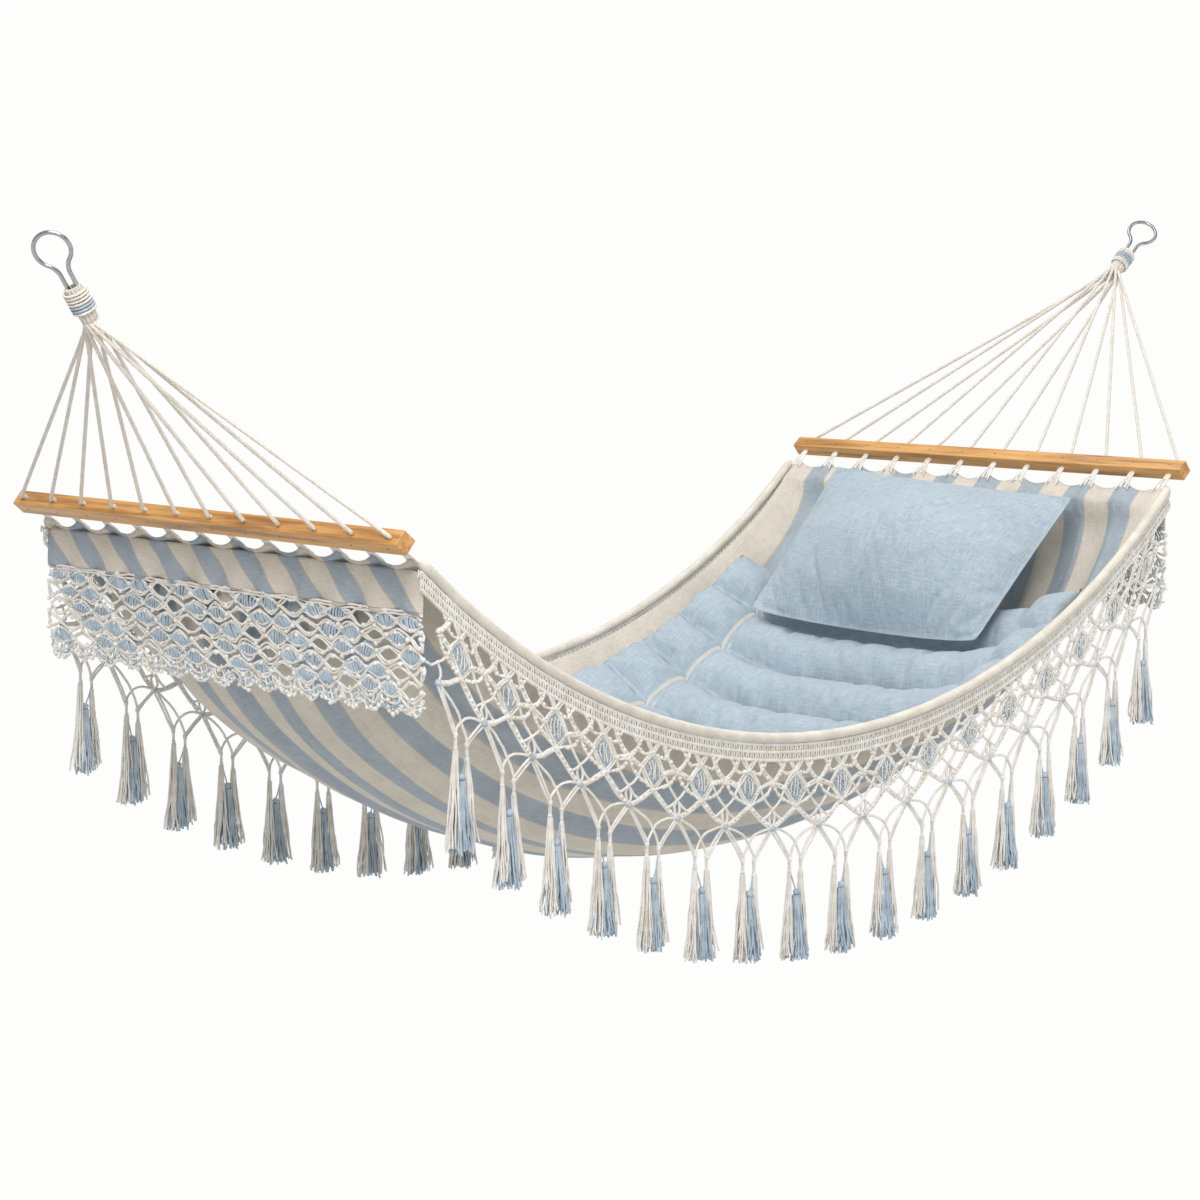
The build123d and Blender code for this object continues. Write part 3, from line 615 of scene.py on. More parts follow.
def make_bundle_group():
    """Loose strands that hang from one place and flare towards their frayed foot."""
    sockets = [
        ("Count", "Int", 12),
        ("Top", "Vector", (0, 0, 0)),
        ("Foot", "Vector", (0, 0, -0.1)),
        ("Top Radius", "Float", 0.003),
        ("Foot Radius", "Float", 0.01),
        ("Strand Radius", "Float", 0.001),
        ("Curl", "Float", 0.006),
        ("Seed", "Int", 0),
        ("Material", "Material", None),
    ]
    tree, inside, outside = new_tree("strand_bundle", sockets)
    given = inside.outputs
    points = flow(tree, "GeometryNodePoints", {"Count": given["Count"]})
    index = flow(tree, "GeometryNodeInputIndex")
    points = put(
        tree, "GeometryNodeStoreNamedAttribute", {
            0: points, "Name": "strand", "Value": index
        }, data_type="FLOAT", domain="POINT"
    ).outputs[0]
    line = flow(tree, "GeometryNodeCurvePrimitiveLine", {"End": (0.0, 0.0, -1.0)})
    line = flow(tree, "GeometryNodeResampleCurve", {0: line, "Count": 10})
    line = put(
        tree,
        "GeometryNodeStoreNamedAttribute",
        {
            0: line,
            "Name": "down",
            "Value": put(tree, "GeometryNodeSplineParameter").outputs["Factor"],
        },
        data_type="FLOAT",
        domain="POINT",
    ).outputs[0]
    lines = flow(tree, "GeometryNodeInstanceOnPoints", {0: points, "Instance": line})
    lines = flow(tree, "GeometryNodeRealizeInstances", {0: lines})
    strand = named(tree, "strand")
    down = named(tree, "down")

    def chance(low, high, shift):
        seed = math_node(tree, "ADD", given["Seed"], shift)
        return put(tree, "FunctionNodeRandomValue", {2: low, 3: high, "ID": strand, "Seed": seed}).outputs[1]

    angle = chance(0.0, 2 * math.pi, 0)
    out = math_node(tree, "SQRT", chance(0.03, 1.0, 11))
    flare = math_node(tree, "POWER", down, 1.25)
    top_out = math_node(tree, "MULTIPLY", out, given["Top Radius"])
    foot_out = math_node(tree, "MULTIPLY", out, given["Foot Radius"])
    spread = flow(tree, "ShaderNodeMix", {0: flare, 2: top_out, 3: foot_out})
    side = put(
        tree, "ShaderNodeCombineXYZ", {
            0: math_node(tree, "COSINE", angle), 1: math_node(tree, "SINE", angle)
        }
    ).outputs[0]
    reach = math_node(tree, "MULTIPLY", down, chance(0.90, 1.0, 23))
    drop = vector_node(tree, "SUBTRACT", given["Foot"], given["Top"])
    place = vector_node(tree, "ADD", given["Top"], scaled(tree, drop, reach))
    place = vector_node(tree, "ADD", place, scaled(tree, side, spread))
    sample = put(
        tree,
        "ShaderNodeCombineXYZ",
        {
            0: math_node(tree, "MULTIPLY", strand, 3.7),
            1: math_node(tree, "MULTIPLY", down, 2.6),
            2: given["Seed"],
        },
    ).outputs[0]
    curl = put(tree, "ShaderNodeTexNoise", {"Vector": sample, "Scale": 1.0, "Detail": 1.0}).outputs[
        "Color"
    ]
    curl = vector_node(tree, "SUBTRACT", curl, (0.5, 0.5, 0.5))
    curl = scaled(
        tree,
        curl,
        math_node(tree, "MULTIPLY", math_node(tree, "MULTIPLY", down, 2.0), given["Curl"]),
    )
    lines = put(
        tree, "GeometryNodeSetPosition", {
            0: lines, "Position": vector_node(tree, "ADD", place, curl)
        }
    ).outputs[0]
    profile = flow(
        tree, "GeometryNodeCurvePrimitiveCircle", {0: 4, "Radius": given["Strand Radius"]}
    )
    mesh = flow(
        tree, "GeometryNodeCurveToMesh", {0: lines, "Profile Curve": profile, "Fill Caps": True}
    )
    mesh = flow(tree, "GeometryNodeSetShadeSmooth", {0: mesh})
    mesh = flow(tree, "GeometryNodeSetMaterial", {0: mesh, "Material": given["Material"]})
    tree.links.new(mesh, outside.inputs[0])
    return tree


def make_tassel_tree(bundle):
    """One tassel group: two cream bundles and a blue skirt."""
    sockets = [
        ("Left", "Vector", (0, 0, 0)),
        ("Left Foot", "Vector", (0, 0, 0)),
        ("Right", "Vector", (0, 0, 0)),
        ("Right Foot", "Vector", (0, 0, 0)),
        ("Head", "Vector", (0, 0, 0)),
        ("Head Foot", "Vector", (0, 0, 0)),
        ("Seed", "Int", 0),
        ("Cream", "Material", None),
        ("Blue", "Material", None),
    ]
    tree, inside, outside = new_tree("tassel_group", sockets)
    given = inside.outputs
    joined = tree.nodes.new("GeometryNodeJoinGeometry")
    kinds = (
        ("Left", "Left Foot", 22, 0.0034, 0.0150, 0.0016, 0.010, "Cream", 0),
        ("Right", "Right Foot", 22, 0.0034, 0.0150, 0.0016, 0.010, "Cream", 100),
        ("Head", "Head Foot", 56, 0.0056, 0.0200, 0.0017, 0.009, "Blue", 200),
    )
    for top, foot, count, top_radius, foot_radius, strand_radius, curl, colour, shift in kinds:
        inputs = {
            "Count": count,
            "Top": given[top],
            "Foot": given[foot],
            "Top Radius": top_radius,
            "Foot Radius": foot_radius,
            "Strand Radius": strand_radius,
            "Curl": curl,
            "Seed": math_node(tree, "ADD", given["Seed"], shift),
            "Material": given[colour],
        }
        made = flow(tree, "GeometryNodeGroup", inputs, node_tree=bundle)
        tree.links.new(made, joined.inputs[0])
    tree.links.new(
        flow(tree, "GeometryNodeRealizeInstances", {0: joined.outputs[0]}), outside.inputs[0]
    )
    return tree


ONE_PLY = make_cord_tree(1)
THREE_PLY = make_cord_tree(3)
KNOTS = make_knot_tree()
TASSEL_GROUP = make_tassel_tree(make_bundle_group())


def cord_mesh(name, lines, tree=None, **values):
    settings = {"Cream": cream_yarn, "Blue": blue_yarn, **values}
    return grown_mesh(name, tree or ONE_PLY, line_mesh(lines), **settings)


def knot_mesh(name, knots):
    """Knots from (point, radius, tint)."""
    lines = [([point], radius, tint) for point, radius, tint in knots]
    return grown_mesh(name, KNOTS, line_mesh(lines), Cream=cream_yarn, Blue=blue_yarn)


def joined_mesh(name, meshes):
    """Several meshes as one, with their shared materials kept."""
    joined = bmesh.new()
    materials = []
    for mesh in meshes:
        start = len(joined.faces)
        joined.from_mesh(mesh)
        joined.faces.ensure_lookup_table()
        for slot in mesh.materials:
            if slot not in materials:
                materials.append(slot)
        places = [materials.index(slot) for slot in mesh.materials] or [0]
        for face in joined.faces[start:]:
            face.material_index = places[min(face.material_index, len(places) - 1)]
    mesh = bpy.data.meshes.new(name)
    joined.to_mesh(mesh)
    joined.free()
    for slot in materials:
        mesh.materials.append(slot)
    return mesh


# Clews: fanned cords and whippings

FOOT_RUN, FOOT_RISE = 0.27, 0.43  # from the bar to its eye
HEAD_RUN, HEAD_RISE = 0.55, 0.46
WHIPPING_START = 0.070
WHIPPING_PITCH = 0.0055
WHIPPING_TURNS = 7
BUNDLE_RADIUS = 0.0115
CORD_RADIUS = 0.0035
WINDING_RADIUS = 0.0025
SEAT_GAP = 0.0003
WHIPPING_RADIUS = BUNDLE_RADIUS + CORD_RADIUS + SEAT_GAP + WINDING_RADIUS
WHIPPING_END = WHIPPING_START + WHIPPING_TURNS * WHIPPING_PITCH + 0.005


def clew_frame(end):
    """The eye's centre, the way down to the bar and the square way, midway frame."""
    run, rise = (FOOT_RUN, FOOT_RISE) if end < 0 else (HEAD_RUN, HEAD_RISE)
    eye = Vector((end * (HALF_SPAN + run), 0.0, rise))
    down = (Vector((end * HALF_SPAN, 0.0, 0.0)) - eye).normalized()
    return eye, down, Vector((0.0, 1.0, 0.0)).cross(down)


def out_way(end):
    """The way out of the bed through the bar's bores."""
    return Vector((end * math.cos(END_SLOPE), 0.0, math.sin(END_SLOPE)))


def softened(points, bends):
    """Cut each inner corner of a route back by its own distance, with two points."""
    route = [points[0]]
    for before, corner, after, bend in zip(points, points[1:], points[2:], bends):
        route += [
            corner + (before - corner).normalized() * bend,
            corner + (after - corner).normalized() * bend,
        ]
    return route + [points[-1]]


def clew_cord_route(end, index):
    eye, down, square = clew_frame(end)
    turn = math.pi * (1 - (2 * (index // 2) + 1) / 12)
    face = 1 if index % 2 == 0 else -1
    start = eye + Vector((0, BUNDLE_RADIUS * math.cos(turn), 0)) + square * (
        face * BUNDLE_RADIUS * math.sin(turn)
    )
    bore = Vector((end * HALF_SPAN, CORD_PLACES[index], 0.0))
    corners = [
        start + down * (WHIPPING_START - 0.004),
        start + down * (WHIPPING_END + 0.017),
        bore + out_way(end) * 0.025,
        bore - out_way(end) * 0.014,
    ]
    route = softened(corners, (0.006, 0.004))
    middle = (route[2] + route[3]) / 2
    return [point - HEAD_EYE for point in route[:3] + [middle] + route[3:]]


def build_clew(end, name):
    lines = [(clew_cord_route(end, k), 0.0027, 0.0) for k in range(12)]
    mesh = cord_mesh(
        name + "_clew_ropes",
        lines,
        THREE_PLY,
        Step=0.006,
        Sides=8,
        Lay=0.26,
        Pitch=0.036,
        Cream=clew_rope,
    )
    add_piece(name + "_clew_ropes", mesh, "bed", [name + "_clew_cords"])
    eye, down, square = clew_frame(end)
    winding = []
    for k in range(WHIPPING_TURNS * 16 + 1):
        angle = 2 * math.pi * k / 16
        along = WHIPPING_START + 0.0025 + WHIPPING_PITCH * k / 16
        side = Vector((0, 1, 0)) * math.cos(angle) + square * math.sin(angle)
        winding.append(eye + down * along + side * WHIPPING_RADIUS - HEAD_EYE)
    blue_from, blue_to = (4 * 16, 6 * 16) if end < 0 else (2 * 16, 5 * 16)
    parts = [(0, blue_from, 0.0), (blue_from, blue_to, 1.0), (blue_to, WHIPPING_TURNS * 16, 0.0)]
    lines = [
        (winding[first : last + 1], 0.0013, tint) for first, last, tint in parts if last > first
    ]
    mesh = cord_mesh(
        name + "_whipping_cord", lines, THREE_PLY, Step=0.0022, Sides=5, Lay=0.9, Pitch=0.009
    )
    add_piece(name + "_whipping_cord", mesh, "bed", [name + "_whipping"])


build_clew(-1, "foot")
build_clew(1, "head")


# Loops and knots between the bars and the hems


def build_loops(end, name):
    """Each bore lets out a whipped knot, from which strands spread to the hem."""
    inward = -out_way(end)
    square = Vector((end * math.sin(END_SLOPE), 0.0, math.cos(END_SLOPE)))
    chance = random.Random(5 + end)
    lines = []
    for place in CORD_PLACES:
        start = Vector((end * HALF_SPAN, place, 0.0)) - HEAD_EYE
        for turn in range(5):
            ring = []
            for k in range(9):
                angle = 2 * math.pi * k / 8
                side = Vector((0, math.cos(angle), 0)) + square * math.sin(angle)
                along = 0.0160 + 0.0024 * turn + 0.0024 * k / 8
                ring.append(start + inward * along + side * (0.0052 + 0.0006 * math.sin(turn)))
            lines.append((ring, 0.0016, 0.0))
        for hand in (-1, 1):
            for strand in range(3):
                spread = hand * (0.004 + 0.0042 * strand) + chance.uniform(-0.001, 0.001)
                lift = 0.0024 if strand % 2 == 0 else -0.0024
                top = start + inward * 0.020 + Vector((0, hand * 0.002, 0)) + square * lift * 0.5
                middle = start + inward * 0.036 + Vector((0, spread * 0.55, 0)) + square * lift
                foot = start + inward * (0.053 + 0.003 * strand) + Vector(
                    (0, spread, 0)
                ) + square * lift
                tip = foot + inward * 0.003 - square * lift * 1.6
                lines.append(([top, middle, foot, tip], 0.0014, 0.0))
        lines.append(([start + inward * 0.012, start + inward * 0.030], 0.0038, 0.0))
    mesh = cord_mesh(name + "_bed_lacing", lines, Step=0.003, Sides=6, Wander=0.0012)
    add_piece(name + "_bed_lacing", mesh, "bed", [name + "_bed_loops"])


build_loops(-1, "foot")
build_loops(1, "head")


# The striped cloth with its pleats

CLOTH_COLUMNS, CLOTH_ROWS = 222, 190
HEM_REACH = 0.042  # from the bar's axis to the tips of the hem
SCALLOP_DEPTH = 0.014


def lacing_share(across):
    """0 at a loop and 1 midway between two loops."""
    place = (across - CORD_PLACES[0]) / CORD_PITCH
    return abs(math.sin(math.pi * place))


def cloth_rise(reach, across):
    """Height of the cloth off the line of the side edges."""
    share = abs(2 * reach / EDGE_LENGTH - 1)
    between = lacing_share(across)
    pleat = (0.0015 + 0.0065 * share**2) * between**0.8
    past_hem = min(reach, EDGE_LENGTH - reach)
    pleat += 0.009 * between * min(1.0, max(0.0, (past_hem - 0.09) / 0.10)) * max(
        0.0, 1 - past_hem / 0.75
    ) ** 1.3
    fold = 0.020 * (wander(across * 12, reach * 1.2, 3.0) - 0.7) * (0.22 + share)
    fold += 0.012 * (wander(across * 30, reach * 2.0, 8.0) - 0.7) * share
    edge = min(1.0, (CLOTH_HALF_WIDTH - abs(across)) / 0.06)
    tuck = min(1.0, max(0.0, (past_hem - 0.085) / 0.24))
    return -belly_at(reach, across) - pleat + fold * max(edge, 0.0) * tuck


def thicken(piece, thickness):
    """Give a sheet its thickness, half of it to each side."""
    solid = piece.modifiers.new("thickness", "SOLIDIFY")
    solid.thickness = thickness
    solid.offset = 0.0


def build_cloth():
    arc, step = 0.0, 2 * CLOTH_HALF_WIDTH / CLOTH_COLUMNS
    for i in range(CLOTH_COLUMNS):
        left = cloth_rise(EDGE_LENGTH / 2, -CLOTH_HALF_WIDTH + i * step)
        right = cloth_rise(EDGE_LENGTH / 2, -CLOTH_HALF_WIDTH + (i + 1) * step)
        arc += math.hypot(step, right - left)
    rows, places = [], []
    for j in range(CLOTH_ROWS + 1):
        row, place = [], []
        for i in range(CLOTH_COLUMNS + 1):
            across = -CLOTH_HALF_WIDTH + 2 * CLOTH_HALF_WIDTH * i / CLOTH_COLUMNS
            first = HEM_REACH
            if abs(across) < CORD_PLACES[-1]:
                first += SCALLOP_DEPTH * lacing_share(across) ** 0.9
            reach = first + (EDGE_LENGTH - 2 * first) * j / CLOTH_ROWS
            row.append(bed_point(reach, across, cloth_rise(reach, across)))
            place.append((across, reach))
        rows.append(row)
        places.append(place)
    mesh = shell_mesh("striped_bed", rows, striped_cloth, uv=places)
    piece = add_piece("striped_bed", mesh, "bed", ["bed_cloth"])
    thicken(piece, 0.0016)


build_cloth()


# Side bindings: a rolled edge of cloth with its seam


BINDING_RADIUS = 0.0086
BINDING_START = 0.05
BINDING_STEPS, BINDING_SIDES = 250, 18


def build_binding(side, name):
    rows = []
    for j in range(BINDING_STEPS + 1):
        reach = BINDING_START + (EDGE_LENGTH - 2 * BINDING_START) * j / BINDING_STEPS
        slope = slope_at(reach)
        centre = bed_point(reach, side * EDGE_HALF_WIDTH)
        up = Vector((-math.sin(slope), 0, math.cos(slope)))
        close = 0.35 if j in (0, BINDING_STEPS) else 1.0
        row = []
        for k in range(BINDING_SIDES):
            angle = 2 * math.pi * k / BINDING_SIDES
            uneven = 0.05 * wander(reach * 22, angle * 1.2, side)
            radius = BINDING_RADIUS * close * (1 + uneven + 0.03 * wander(reach * 70, angle, 5.0))
            if 0.55 * math.pi < angle < 0.68 * math.pi:
                radius *= 0.90
            out = Vector((0, -side * math.cos(angle) * radius * 1.02, 0))
            row.append(centre + out + up * math.sin(angle) * radius)
        rows.append(row)
    mesh = shell_mesh(name + "_rolled_edge", rows, cream_rolled, closed=True)
    fill_ends(mesh, BINDING_SIDES)
    add_piece(name + "_rolled_edge", mesh, "bed", [name + "_edge_binding"])


def fill_ends(mesh, around):
    """Close the two ends of a tube whose rows have the given number of points."""
    work = bmesh.new()
    work.from_mesh(mesh)
    work.verts.ensure_lookup_table()
    count = len(work.verts)
    work.faces.new([work.verts[k] for k in range(around)][::-1])
    work.faces.new([work.verts[count - around + k] for k in range(around)])
    bmesh.ops.recalc_face_normals(work, faces=work.faces)
    work.to_mesh(mesh)
    work.free()


build_binding(-1, "near")
build_binding(1, "far")


# Side nets


def net_point(side, motif, drop, out=0.0):
    """A point of a side net, counted in motifs along the binding and a drop from it."""
    top = bed_point(HEM_RUN + motif * MOTIF_PITCH, side * (EDGE_HALF_WIDTH + out), -0.0103)
    return top - Vector((0, 0, drop))


# Half of one motif: (points as (share of the motif, drop in mm), strands side by side, knotted)
NET_ROUTES = (
    (((0.27, 28), (0.21, 44), (0.11, 57), (0.0, 67)), 2, True),
    (((0.12, 28), (0.20, 40), (0.26, 52), (0.50, 47)), 1, True),
    (((0.38, 28), (0.50, 46), (0.63, 60), (0.73, 77)), 2, False),
    (((0.27, 76), (0.36, 62), (0.50, 46), (0.62, 28)), 2, False),
    (((0.27, 76), (0.38, 92), (0.50, 107), (0.64, 119), (0.76, 130)), 2, False),
    (((0.0, 67), (0.12, 70), (0.27, 76)), 2, True),
    (((0.0, 67), (0.10, 85), (0.20, 93), (0.27, 97), (0.50, 107)), 1, True),
    (((0.27, 76), (0.15, 98), (0.0, 113), (-0.13, 126), (-0.24, 130)), 1, False),
    (((0.50, 107), (0.36, 119), (0.24, 130), (0.12, 138), (0.0, 145)), 2, True),
    (((0.0, 113), (0.07, 127), (0.0, 145)), 1, False),
    (((0.0, 145), (0.20, 172), (0.38, 200)), 2, False),
    (((0.0, 145), (0.20, 149), (0.40, 160), (0.50, 172), (0.60, 190), (0.62, 200)), 1, False),
)


# Knots of one motif: share of the motif, drop in mm, radius and tint
NET_KNOTS = (
    (0.5, 46, 0.0036, 0.0),
    (0.5, 107, 0.0036, 0.0),
    (0.0, 67, 0.0038, 0.0),
    (0.0, 145, 0.0056, 1.0),
    (0.27, 76, 0.0034, 0.0),
    (0.73, 76, 0.0034, 0.0),
    (0.38, 200, 0.0036, 0.0),
    (0.62, 200, 0.0036, 0.0),
    (0.0, 113, 0.0028, 0.0),
)


def mm_point(side, place, drop, out=0.0):
    """A point of a side net, by its drop in mm."""
    return net_point(side, place, drop / 1000, out)


def build_net(side, name):
    chance = random.Random(31 + side)
    lines, knots = [], []

    def add_route(motif, route, strands, knotted, mirror):
        points = [(motif + (1 - share if mirror else share), drop) for share, drop in route]
        places = [place for place, _ in points]
        if min(places) < -0.42 or max(places) > NET_MOTIFS + 0.42:
            return
        for strand in range(strands):
            off = 0.0 if strands == 1 else (strand - 0.5) * 0.0046
            path = []
            for order, (place, drop) in enumerate(points):
                jog = chance.uniform(-0.0014, 0.0014)
                point = net_point(side, place, drop / 1000 + jog, chance.uniform(-0.0012, 0.0012))
                before = mm_point(side, *points[max(order - 1, 0)])
                after = mm_point(side, *points[min(order + 1, len(points) - 1)])
                way = (after - before).normalized()
                path.append(point + Vector((-way.z, 0, way.x)) * off)
            lines.append((path, 0.0023 if strands == 1 else 0.0021, 0.0))
        if not knotted:
            return
        for (place, drop), (next_place, next_drop) in zip(points, points[1:]):
            for k in range(2):
                share = (k + chance.random() * 0.6) / 2
                at = place + (next_place - place) * share
                spot = mm_point(side, at, drop + (next_drop - drop) * share, 0.0006)
                knots.append((spot, chance.uniform(0.0028, 0.0038), 0.0))

    for motif in range(NET_MOTIFS):
        for route, strands, knotted in NET_ROUTES:
            for mirror in (False, True):
                add_route(motif, route, strands, knotted, mirror)
        for place, drop, size, tint in NET_KNOTS:
            knots.append((mm_point(side, motif + place, drop, 0.0008), size, tint))
        add_patch(side, motif, lines, chance)
    knots.append((mm_point(side, NET_MOTIFS, 145, 0.0008), 0.0056, 1.0))
    meshes = [
        cord_mesh("net_cords", lines, Step=0.0095, Sides=5, Wander=0.0022),
        knot_mesh("net_knots", knots),
        *header_meshes(side),
    ]
    mesh = joined_mesh(name + "_macrame", meshes)
    add_piece(name + "_macrame", mesh, "bed", [name + "_fringe_net"])


def add_patch(side, motif, lines, chance):
    """Blue and white strands darned across the diamond above each tassel."""
    for k in range(9):
        share = (k + 0.5) / 9
        for way, tint in ((1, 1.0), (-1, 1.0 if k % 3 else 0.0)):
            left = 0.5 - 0.20 * (1 - abs(2 * share - 1))
            right = 1.0 - left
            high = 53 + 48 * share
            tilt = 7 * way
            start = net_point(side, motif + left, (high - tilt) / 1000, 0.0004 * way)
            middle = net_point(
                side, motif + 0.5, (high + chance.uniform(-3, 3)) / 1000, 0.0014 * way
            )
            finish = net_point(side, motif + right, (high + tilt) / 1000, 0.0004 * way)
            lines.append(([start, middle, finish], 0.0013, tint))
    for k in range(4):
        place = 0.41 + 0.06 * k
        start = net_point(side, motif + place, (58 + 4 * abs(k - 1.5)) / 1000, 0.0022)
        middle = net_point(side, motif + place + chance.uniform(-0.04, 0.04), 0.074, 0.0030)
        finish = net_point(
            side, motif + place + chance.uniform(-0.03, 0.03), 0.092 - 0.004 * abs(k - 1.5), 0.0022
        )
        lines.append(([start, middle, finish], 0.0011, 0.0))


def header_meshes(side):
    """Crochet header: three cords along the binding with two rows of stitches between."""
    count = NET_MOTIFS * 10
    cords = []
    for drop, radius in ((0.002, 0.0024), (0.0145, 0.0024), (0.028, 0.0026)):
        path = [net_point(side, -0.36 + (NET_MOTIFS + 0.72) * k / 220, drop) for k in range(221)]
        cords.append((path, radius, 0.0))
    chance = random.Random(7 + side)
    stitches = []
    for row, (high, low) in enumerate(((0.002, 0.0145), (0.0145, 0.028))):
        for k in range(-4, count + 4):
            place = (k + 0.5 * row) / 10
            for hand in (-1, 1):
                top = net_point(side, place + hand * 0.014, high, 0.0008)
                foot = net_point(
                    side, place + hand * 0.030 + chance.uniform(-0.004, 0.004), low, 0.0008
                )
                stitches.append(
                    ([top, (top + foot) / 2 + Vector((0, side * 0.0012, 0)), foot], 0.00145, 0.0)
                )
    return [
        cord_mesh("header_cords", cords, THREE_PLY, Step=0.0062, Sides=4, Lay=0.5, Pitch=0.021),
        cord_mesh("header_stitches", stitches, Step=0.0048, Sides=4),
    ]


build_net(-1, "near")
build_net(1, "far")


# Tassels


def build_tassel(side, index, name):
    left, right = (net_point(side, index + share, NET_FOOT) for share in MOTIF_FEET)
    centre = (left + right) / 2
    chance = random.Random(100 * side + index)
    foot = centre.z - 0.0033 - TASSEL_LENGTH
    lean = chance.uniform(-0.002, 0.002)
    lines = []
    for hand, top in ((-1, left), (1, right)):
        for strand in range(2):
            off = Vector((0, 0.0017 * (2 * strand - 1), 0))
            low = Vector((centre.x + hand * 0.0135, top.y, foot + 0.100))
            middle = (top + low) / 2 + Vector((chance.uniform(-0.001, 0.001), 0, 0))
            lines.append(
                ([top + off + Vector((0, 0, 0.001)), middle + off, low + off], 0.0016, 0.0)
            )
    hang = left if index % 2 else right
    head = Vector((centre.x + lean, centre.y + side * 0.002, foot + 0.118))
    lines.append(([hang - Vector((0, 0, 0.012)), (hang + head) / 2 - Vector((0, 0, 0.008)), head], 0.0013, 1.0))
    for turn in range(3):
        ring = []
        for k in range(9):
            angle = 2 * math.pi * k / 8
            low = -0.008 - 0.0024 * turn - 0.0003 * k
            ring.append(head + Vector((math.cos(angle) * 0.0052, math.sin(angle) * 0.0052, low)))
        lines.append((ring, 0.0012, 1.0))
    strands = grown_mesh(
        "tassel_strands",
        TASSEL_GROUP,
        bpy.data.meshes.new("none"),
        **{
            "Left": left + Vector((0.0, 0, -0.020)),
            "Left Foot": Vector((centre.x - 0.0175, centre.y, foot)),
            "Right": right + Vector((0.0, 0, -0.020)),
            "Right Foot": Vector((centre.x + 0.0175, centre.y, foot + 0.004)),
            "Head": head - Vector((0, 0, 0.006)),
            "Head Foot": Vector((centre.x + lean * 2, centre.y + side * 0.003, foot - 0.001)),
            "Seed": 7 * index + (500 if side > 0 else 0),
            "Cream": cream_yarn,
            "Blue": blue_yarn,
        },
    )
    knots = [(left, 0.0034, 0.0), (right, 0.0034, 0.0), (head - Vector((0, 0, 0.001)), 0.0062, 1.0)]
    knots += [
        (left - Vector((0, 0, 0.017)), 0.0036, 0.0), (right - Vector((0, 0, 0.019)), 0.0036, 0.0)
    ]
    meshes = [
        strands,
        cord_mesh("tassel_cords", lines, Step=0.006, Sides=5),
        knot_mesh("tassel_knots", knots),
    ]
    add_piece(name + "_yarn", joined_mesh(name + "_yarn", meshes), name, [name])


for side, side_name in ((-1, "near"), (1, "far")):
    for index in range(NET_MOTIFS):
        build_tassel(side, index, f"{side_name}_tassel_{index + 1:02d}")


# Hem flaps and valances

FLAP_REACH = 0.066  # from the bar's axis, along the hem
FLAP_HALF_WIDTH = 0.487
FLAP_HEIGHT = 0.066
VALANCE_HALF_WIDTH = 0.486
VALANCE_DROP = 0.063  # from the flap's top to the valance's


def flap_corner(end):
    """Place along X of the flap and its top."""
    reach = FLAP_REACH if end < 0 else EDGE_LENGTH - FLAP_REACH
    corner = bed_point(reach, 0.0, -0.0015 - 0.0072 - 0.0003)
    return corner.x, corner.z - 0.0015 * math.tan(END_SLOPE)


def build_flap(end, name):
    x, top = flap_corner(end)
    rows, places = [], []
    for j in range(15):
        down = j / 14
        row, place = [], []
        for i in range(241):
            across = -FLAP_HALF_WIDTH + 2 * FLAP_HALF_WIDTH * i / 240
            wave = 0.0030 * math.sin(across * 2 * math.pi / CORD_PITCH + 1.2) * (0.4 + down)
            wave += 0.0030 * wander(across * 9, down * 1.5, end)
            height = -0.004 + down * (FLAP_HEIGHT + 0.003 * math.sin(across * 2 * math.pi / 0.104))
            beside = max(0.0, (abs(across) - 0.472) / 0.015) * (1 - down)
            row.append(Vector((x + end * 0.001 + wave, across, top - height - 0.008 * beside)))
            place.append((across + 0.95 * height, 0.1 - height))
        rows.append(row)
        places.append(place)
    mesh = shell_mesh(name + "_striped_flap", rows, striped_cloth, uv=places)
    piece = add_piece(name + "_striped_flap", mesh, "bed", [name + "_hem_flap"])
    thicken(piece, 0.0018)


build_flap(-1, "foot")
build_flap(1, "head")


